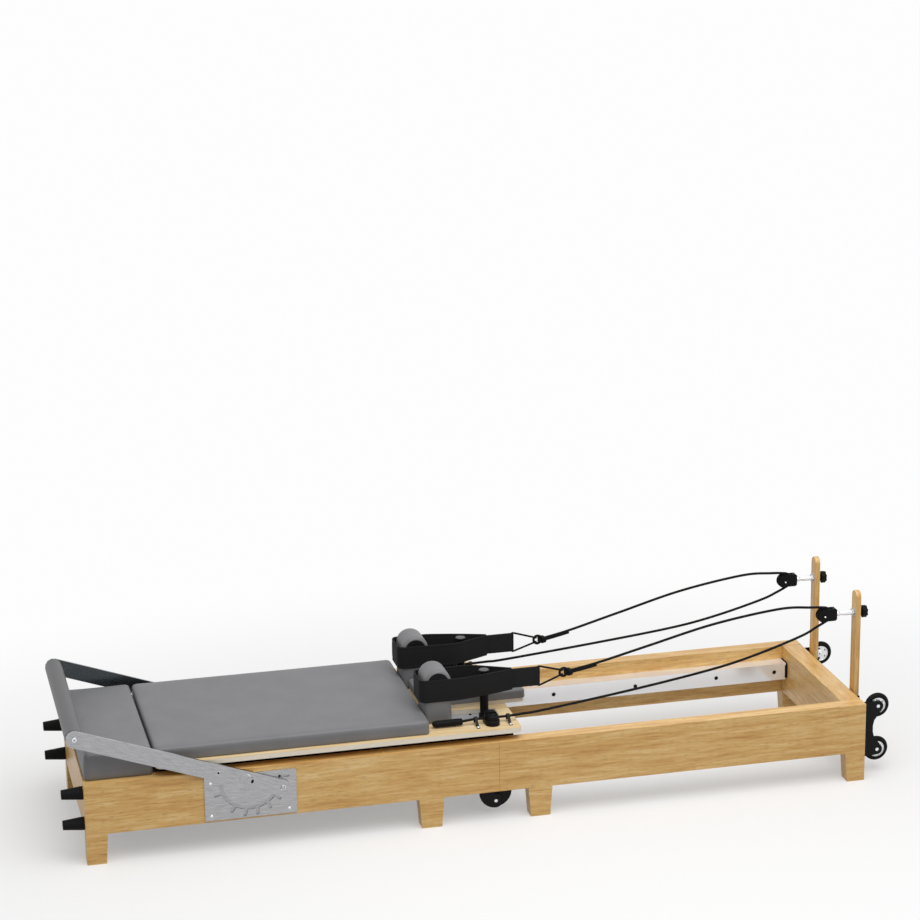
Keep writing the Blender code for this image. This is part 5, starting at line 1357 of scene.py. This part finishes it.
def add_rope_holders(side, sign):
    """Bolts of the rope cleat, and two leather loops that hold the rope down beside it."""
    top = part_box(f"rope_cleat_{side}")[1].z - 0.0002
    bolts = [dome("bolt", spot(POST_X, sign * y, top), "Z", 0.0036, 0.0018) for y in (0.2197, 0.2573)]
    fit(joined(f"cleat_bolts_{side}", bolts), "carriage", "dark_bolt")
    line = (
        (0.2290, 0.2922), (0.2290, 0.3040), (0.2310, 0.3100), (0.2350, 0.3128), (0.2395, 0.3130),
        (0.2440, 0.3110), (0.2480, 0.3060), (0.2530, 0.2985), (0.2580, 0.2945), (0.2640, 0.2927),
        (0.2780, 0.2922),
    )
    half = 0.0009
    upper, lower = [], []
    for index, (y, z) in enumerate(line):
        heading = heading_at(line, index)
        upper.append((sign * (y - heading.y * half), z + heading.x * half))
        lower.append((sign * (y + heading.y * half), z - heading.x * half))
    section = (
        (0.0022, 0.0), (0.0050, 0.0), (0.0050, 0.0008), (0.0040, 0.0018), (0.0028, 0.0018),
        (0.0022, 0.0008),
    )
    loops, rivets = [], []
    for x in (0.0465, -0.0545):
        low, high = x - 0.0045 + SEAM_X, x + 0.0045 + SEAM_X
        loops.append(plate("loop", "X", upper + lower[::-1], low, high, 0.0004))
        rivets.append(ring("rivet", spot(x, sign * 0.2710, 0.2930), "Z", section, 24))
    fit(joined(f"rope_loops_{side}", loops), "carriage", "bronze_leather")
    fit(joined(f"rope_rivets_{side}", rivets), "carriage", "zinc")


# Pulleys


def add_pulley_fittings(side, sign):
    """Pin heads on the fork, its swivel collar, and the eye bolt that passes through the riser."""
    fork, knob = f"pulley_fork_{side}", f"riser_knob_{side}"
    y = sign * RISER_Y
    pins = [dome("pin", spot(1.085, y + way * 0.0124, 0.508), "Y", 0.0030, 0.0016, way) for way in (-1, 1)]
    collar = ring("collar", spot(1.1255, y, PULLEY_Z), "X", (
        (0.0070, 0.0), (0.0076, 0.0), (0.0080, 0.0010), (0.0080, 0.0095), (0.0072, 0.0108),
        (0.0070, 0.0108)), 28)
    fit(joined(f"pulley_bright_parts_{side}", [*pins, collar]), fork, "zinc")
    shaft = turned(f"eye_bolt_{side}", spot(1.1368, y, PULLEY_Z), "X", (
        (0.0, 0.0055), (0.0010, 0.0062), (0.0060, 0.0064), (0.0120, 0.0078), (0.0180, 0.0082),
        (0.0400, 0.0082)), 28)
    fit(shaft, knob, "zinc")
    nut = turned(f"eye_bolt_nut_{side}", spot(1.1752, y, PULLEY_Z), "X", (
        (0.0, 0.0112), (0.0008, 0.0124), (0.0064, 0.0124), (0.0072, 0.0112)), 6)
    fit(nut, knob, "mirror_plate")
    washer = ring(f"riser_washer_{side}", spot(RISER_FACES[0] - 0.0014, y, PULLEY_Z), "X", (
        (0.0084, 0.0), (0.0130, 0.0), (0.0138, 0.0006), (0.0138, 0.0014), (0.0084, 0.0014)))
    fit(washer, "head_frame", "mirror_plate")


def add_riser_knob(side, sign):
    """Moulded star knob with seven round lobes, a neck towards the riser and a capped end."""
    knob = f"riser_knob_{side}"
    y = sign * RISER_Y
    outline = []
    for index in range(84):
        angle = 360 * index / 84
        radius = 0.0178 + 0.0019 * math.cos(math.radians(7 * angle))
        outline.append(around((y, PULLEY_Z), radius, angle))
    start = RISER_FACES[1] + 0.0006
    star = plate("star", "X", outline, start + 0.0075 + SEAM_X, start + 0.0245 + SEAM_X, 0.0022)
    neck = turned("neck", spot(start, y, PULLEY_Z), "X", (
        (0.0, 0.0105), (0.0010, 0.0118), (0.0050, 0.0112), (0.0095, 0.0150)))
    fit(joined(f"star_knob_{side}", [star, neck]), knob, "black_plastic", [knob])
    cap = dome(f"knob_cap_{side}", spot(start + 0.0243, y, PULLEY_Z), "X", 0.0085, 0.0020)
    fit(cap, knob, "cap_grey")


# Transport wheels


def add_transport_wheels():
    """Crowned rubber tread on a metal hub with five round openings, one modelled and four set out."""
    wheel_y, bolt_y, nut_y = 0.2475, 0.2609, 0.2376
    tread = (
        (0.0256, -0.0085), (0.0265, -0.0090), (0.0335, -0.0090), (0.0352, -0.0083), (0.0376, -0.0056),
        (0.0392, -0.0028),
    )
    hub = (
        (0.0043, -0.0088), (0.0090, -0.0088), (0.0098, -0.0080), (0.0098, -0.0062), (0.0232, -0.0062),
        (0.0240, -0.0080), (0.0256, -0.0080),
    )
    tread_master = ring("tread", (0, 0, 0), "Y", [*tread, (0.0400, 0.0), *mirrored(tread)], 64)
    hub_master = ring("hub", (0, 0, 0), "Y", [*hub, *mirrored(hub)], 64)
    cutters = []
    for index in range(5):
        x, z = around((0, 0), 0.0168, 72 * (index + 0.5))
        cutters.append(turned("opening", (x, -0.012, z), "Y", ((0, 0.0046), (0.024, 0.0046)), 20))
    drilled(hub_master, joined("openings", cutters))
    for side, sign in SIDES.items():
        for level, z in WHEEL_LEVELS.items():
            node = f"transport_wheel_{level}_{side}"
            place = Matrix.Translation(spot(WHEEL_X, sign * wheel_y, z))
            fit(copied(tread_master, f"wheel_tread_{level}_{side}", place), node, "rubber", [node])
            fit(copied(hub_master, f"wheel_hub_{level}_{side}", place), node, "wheel_metal")
    bpy.data.objects.remove(tread_master)
    bpy.data.objects.remove(hub_master)
    for side, sign in SIDES.items():
        bolts = []
        for z in WHEEL_LEVELS.values():
            bolts.append(dome("bolt", spot(WHEEL_X, sign * bolt_y, z), "Y", 0.0064, 0.0009, sign))
            bolts.append(dome("nut", spot(WHEEL_X, sign * nut_y, z), "Y", 0.0050, 0.0022, -sign))
        fit(joined(f"wheel_bolts_{side}", bolts), "head_frame", "zinc")
        screws = [
            bolt_head("screw", spot(1.1832, sign * 0.238, z), "X", 0.0045, 0.0030)
            for z in (0.100, 0.150, 0.200)]
        fit(joined(f"bracket_screws_{side}", screws), "head_frame", "dark_bolt")


# Running gear


def add_painted_shade_block():
    """Black block under the foot edge of the carriage board, between the rails: painted shade, a dark piece
    that stands for the deep shade there.
    """
    half_width = 0.2608
    low, high = spot(-1.0388, -half_width, 0.2265), spot(-1.0212, half_width, 0.2752)
    fit(block("painted_shade_block", low, high, 0.0008), "carriage", "black_metal")


def add_roller_caps():
    """Blackened axle ends on the load wheels and the guide rollers."""
    axles_x, axle_z = {"foot": -0.990, "head": 0.033}, 0.2348
    sunk = 0.0002
    for side, sign in SIDES.items():
        for end, x in axles_x.items():
            node = f"load_wheel_{end}_{side}"
            low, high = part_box(node)
            y = (high.y if sign > 0 else low.y) - sign * sunk
            cap = dome(f"axle_cap_{end}_{side}", spot(x, y, axle_z), "Y", 0.0062, 0.0022, sign)
            fit(cap, node, "dark_bolt")
        node = f"guide_roller_{side}"
        low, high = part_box(node)
        centre = ((low.x + high.x) / 2, (low.y + high.y) / 2, low.z + sunk)
        fit(dome(f"roller_cap_{side}", centre, "Z", 0.0065, 0.0024, -1), node, "dark_bolt")


# Stage


def seen_directly(tree):
    """One where the camera, a reflection or a view through clear material meets the surface."""
    rays = add_node(tree, "ShaderNodeLightPath").outputs
    first = worked_out(tree, "MAXIMUM", rays["Is Camera Ray"], rays["Is Glossy Ray"])
    return worked_out(tree, "MAXIMUM", first, rays["Is Transmission Ray"])


def add_floor():
    """White paper: it keeps the shadow close to the object and runs out to plain white further off."""
    deselect()
    bpy.ops.mesh.primitive_plane_add(size=120, location=(0, 0, 0))
    floor = named("studio_floor")
    lit, viewed = linear("#ABABAB"), linear("#C8C8C8")
    finish, tree, shader = new_finish("studio_paper_white", lit, 0.9, Emission_Color=WHITE)
    around_object = add_node(tree, "ShaderNodeMapping", {
        "Vector": object_place(tree), "Location": (0, 0.25, 0), "Scale": (0.72, 1.0, 1.0)}).outputs[0]
    away = add_node(tree, "ShaderNodeVectorMath", {0: around_object}, operation="LENGTH").outputs["Value"]
    far = add_node(tree, "ShaderNodeMapRange", {
        "Value": away, "From Min": 0.85, "From Max": 2.3}, interpolation_type="SMOOTHSTEP").outputs["Result"]
    seen = seen_directly(tree)
    set_colour(tree, shader, mixed(tree, seen, lit, viewed))
    tree.links.new(worked_out(tree, "MULTIPLY", seen, PAPER_GLOW), shader.inputs["Emission Strength"])
    plain = add_node(tree, "ShaderNodeEmission", {"Color": WHITE, "Strength": PAPER_FAR})
    only_seen = worked_out(tree, "MULTIPLY", seen, far)
    mix = add_node(tree, "ShaderNodeMixShader", {0: only_seen, 1: shader.outputs[0], 2: plain.outputs[0]})
    tree.links.new(mix.outputs[0], tree.nodes["Material Output"].inputs["Surface"])
    floor.data.materials.append(finish)


def add_light():
    """White surroundings that light the object more softly than they look, and the lamps."""
    world = bpy.data.worlds.new("studio")
    bpy.context.scene.world = world
    world.use_nodes = True
    tree = world.node_tree
    tree.nodes.clear()
    light = add_node(tree, "ShaderNodeBackground", {"Color": WHITE, "Strength": WORLD_LIGHT})
    white = add_node(tree, "ShaderNodeBackground", {"Color": WHITE, "Strength": 1.0})
    mix = add_node(tree, "ShaderNodeMixShader", {
        0: seen_directly(tree), 1: light.outputs[0], 2: white.outputs[0]})
    add_node(tree, "ShaderNodeOutputWorld", {"Surface": mix.outputs[0]})
    for name, place, size, power in LAMPS:
        lamp = bpy.data.lights.new(name, "AREA")
        lamp.shape = "DISK"
        lamp.size = size
        lamp.energy = power
        holder = bpy.data.objects.new(name, lamp)
        holder.location = place
        holder.rotation_euler = (-Vector(place)).to_track_quat("-Z", "Y").to_euler()
        bpy.context.collection.objects.link(holder)


def add_camera():
    """The camera at the photograph's angle."""
    camera = bpy.data.cameras.new("photograph_view")
    camera.sensor_width = SENSOR_WIDTH
    camera.lens = FOCAL_PIXELS / PHOTO_PIXELS * SENSOR_WIDTH
    camera.clip_end = 200
    holder = bpy.data.objects.new("photograph_view", camera)
    yaw, pitch, roll = CAMERA_TURN
    forward = Vector((math.sin(yaw) * math.cos(pitch), math.cos(yaw) * math.cos(pitch), -math.sin(pitch)))
    right = Vector((math.cos(yaw), -math.sin(yaw), 0))
    up = right.cross(forward)
    tilted_right = right * math.cos(roll) + up * math.sin(roll)
    tilted_up = up * math.cos(roll) - right * math.sin(roll)
    turn = Matrix((tilted_right, tilted_up, -forward)).transposed().to_4x4()
    holder.matrix_world = Matrix.Translation(spot(*CAMERA_PLACE)) @ turn
    bpy.context.collection.objects.link(holder)
    bpy.context.scene.camera = holder


def add_stage():
    """Pale floor, soft light from above and the camera at the photograph's angle."""
    bpy.context.scene.view_settings.view_transform = "Standard"
    add_floor()
    add_light()
    add_camera()


# Frame nodes that keep their shape


def both(*names):
    """The near and the far node of each name."""
    return [f"{name}_{side}" for name in names for side in SIDES]


NODE_FINISHES = {
    "oak_x": both("foot_rail", "head_rail"),
    "oak_y": ("foot_end_board", "head_end_board"),
    "plywood": ("carriage_board", "headrest_board"),
    "aluminium": both("foot_track", "head_track"),
    "arm_steel": both("footbar_arm"),
    "grip": ("footbar_grip",),
    "black_metal": (
        "folding_hinge", "spring_peg_bar", "carriage_underframe",
        *both("head_hinge_leaf", "strap_post", "wheel_bracket")),
    "black_plastic": both(
        "rope_cleat", "pulley_fork", "pulley_sheave", "guide_roller", "load_wheel_foot", "load_wheel_head"),
}


def finish_nodes():
    """Gives the frame's own parts that stay in view their finishes."""
    for finish, names in NODE_FINISHES.items():
        for name in names:
            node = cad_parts[name]
            for material_slot in node.material_slots:
                material_slot.material = FINISHES[finish]


# Add-on


class ReformerSizes(bpy.types.PropertyGroup):
    rope_diameter: FloatProperty(
        name="Rope diameter", description="Diameter of the two ropes", default=0.008, min=0.004, max=0.014,
        unit="LENGTH")


def colour_property(name, description, code):
    """A colour that the user may change, with its sRGB default."""
    return FloatVectorProperty(
        name=name, description=description, size=4, subtype="COLOR", default=linear(code))


class ReformerColours(bpy.types.PropertyGroup):
    oak: colour_property("Oak", "Middle tone of the lacquered oak", OAK_MIDDLE)
    plywood: colour_property("Plywood", "Middle tone of the carriage board", PLYWOOD_MIDDLE)
    leather: colour_property("Leather", "Colour of all cushions", "#707072")
    grip: colour_property("Grip", "Colour of the footbar's foam grip", "#4E4E50")
    steel: colour_property("Steel", "Colour of the brushed footbar parts", "#AAAAAC")
    rope: colour_property("Rope", "Colour of the ropes", "#090909")


FINISHES = {}


class REFORMER_OT_stage(bpy.types.Operator):
    """Floor, light and camera"""

    bl_idname = "reformer.stage"
    bl_label = "Stage"

    def execute(self, context):
        add_stage()
        return {"FINISHED"}


class REFORMER_OT_finishes(bpy.types.Operator):
    """Finishes of the frame's own parts"""

    bl_idname = "reformer.finishes"
    bl_label = "Finishes"

    def execute(self, context):
        FINISHES.update(make_finishes())
        finish_nodes()
        return {"FINISHED"}


class REFORMER_OT_ropes(bpy.types.Operator):
    """Both ropes with their knots and sleeves"""

    bl_idname = "reformer.ropes"
    bl_label = "Ropes"

    def execute(self, context):
        for side, sign in SIDES.items():
            add_rope(side, sign)
        return {"FINISHED"}


class REFORMER_OT_straps(bpy.types.Operator):
    """Both foot straps with their webbing"""

    bl_idname = "reformer.straps"
    bl_label = "Foot straps"

    def execute(self, context):
        for side, sign in SIDES.items():
            add_band(side, sign)
            add_webbing(side, sign)
        return {"FINISHED"}


class REFORMER_OT_cushions(bpy.types.Operator):
    """Carriage pad, platform pad, headrest pad and shoulder rests"""

    bl_idname = "reformer.cushions"
    bl_label = "Cushions"

    def execute(self, context):
        add_pads()
        add_shoulder_rests()
        return {"FINISHED"}


class REFORMER_OT_frame_fittings(bpy.types.Operator):
    """Cones, pegs, track caps, hinge bolts and risers in their sockets"""

    bl_idname = "reformer.frame_fittings"
    bl_label = "Frame fittings"

    def execute(self, context):
        add_cones()
        add_spring_bar_fittings()
        add_track_fittings()
        add_hinge_bolts()
        add_risers()
        return {"FINISHED"}


class REFORMER_OT_footbar_fittings(bpy.types.Operator):
    """Slotted plates, backing sheets, screws, pivot caps and lock pins of the footbar"""

    bl_idname = "reformer.footbar_fittings"
    bl_label = "Footbar fittings"

    def execute(self, context):
        for side, sign in SIDES.items():
            add_slotted_plate(side)
            add_plate_backing(side, sign)
            add_arm_fittings(side, sign)
        return {"FINISHED"}


class REFORMER_OT_springs(bpy.types.Operator):
    """Five springs with their coloured handles"""

    bl_idname = "reformer.springs"
    bl_label = "Springs"

    def execute(self, context):
        for index, colour in enumerate(SPRING_COLOURS, start=1):
            add_spring(index, f"handle_{colour}")
        return {"FINISHED"}


class REFORMER_OT_carriage_fittings(bpy.types.Operator):
    """Strap posts' discs and plates, cleat bolts, rope loops, a dark block of painted shade under the board,
    and axle caps
    """

    bl_idname = "reformer.carriage_fittings"
    bl_label = "Carriage fittings"

    def execute(self, context):
        for side, sign in SIDES.items():
            add_post_fittings(side, sign)
            add_rope_holders(side, sign)
        add_painted_shade_block()
        add_roller_caps()
        return {"FINISHED"}


class REFORMER_OT_pulleys(bpy.types.Operator):
    """Pin heads, collars, eye bolts and star knobs of the pulleys"""

    bl_idname = "reformer.pulleys"
    bl_label = "Pulley fittings"

    def execute(self, context):
        for side, sign in SIDES.items():
            add_pulley_fittings(side, sign)
            add_riser_knob(side, sign)
        return {"FINISHED"}


class REFORMER_OT_transport_wheels(bpy.types.Operator):
    """Four transport wheels with their bolts"""

    bl_idname = "reformer.transport_wheels"
    bl_label = "Transport wheels"

    def execute(self, context):
        add_transport_wheels()
        return {"FINISHED"}


OPERATORS = (
    REFORMER_OT_stage,
    REFORMER_OT_finishes,
    REFORMER_OT_ropes,
    REFORMER_OT_straps,
    REFORMER_OT_cushions,
    REFORMER_OT_frame_fittings,
    REFORMER_OT_footbar_fittings,
    REFORMER_OT_springs,
    REFORMER_OT_carriage_fittings,
    REFORMER_OT_pulleys,
    REFORMER_OT_transport_wheels,
)


class REFORMER_PT_pieces(bpy.types.Panel):
    """Lists the pieces of the reformer in the order in which they are made"""

    bl_idname = "REFORMER_PT_pieces"
    bl_label = "Folding pilates reformer"
    bl_space_type = "VIEW_3D"
    bl_region_type = "UI"
    bl_category = "Reformer"

    def draw(self, context):
        for operator in OPERATORS:
            self.layout.operator(operator.bl_idname)


CLASSES = (ReformerSizes, ReformerColours, *OPERATORS, REFORMER_PT_pieces)


def register():
    for item in CLASSES:
        bpy.utils.register_class(item)
    bpy.types.Scene.reformer_sizes = PointerProperty(type=ReformerSizes)
    bpy.types.Scene.reformer_colours = PointerProperty(type=ReformerColours)


def unregister():
    del bpy.types.Scene.reformer_colours
    del bpy.types.Scene.reformer_sizes
    for item in reversed(CLASSES):
        bpy.utils.unregister_class(item)


def main():
    register()
    bpy.ops.reformer.stage()
    bpy.ops.reformer.finishes()
    bpy.ops.reformer.ropes()
    bpy.ops.reformer.straps()
    bpy.ops.reformer.cushions()
    bpy.ops.reformer.frame_fittings()
    bpy.ops.reformer.footbar_fittings()
    bpy.ops.reformer.springs()
    bpy.ops.reformer.carriage_fittings()
    bpy.ops.reformer.pulleys()
    bpy.ops.reformer.transport_wheels()


if __name__ == "__main__":
    main()
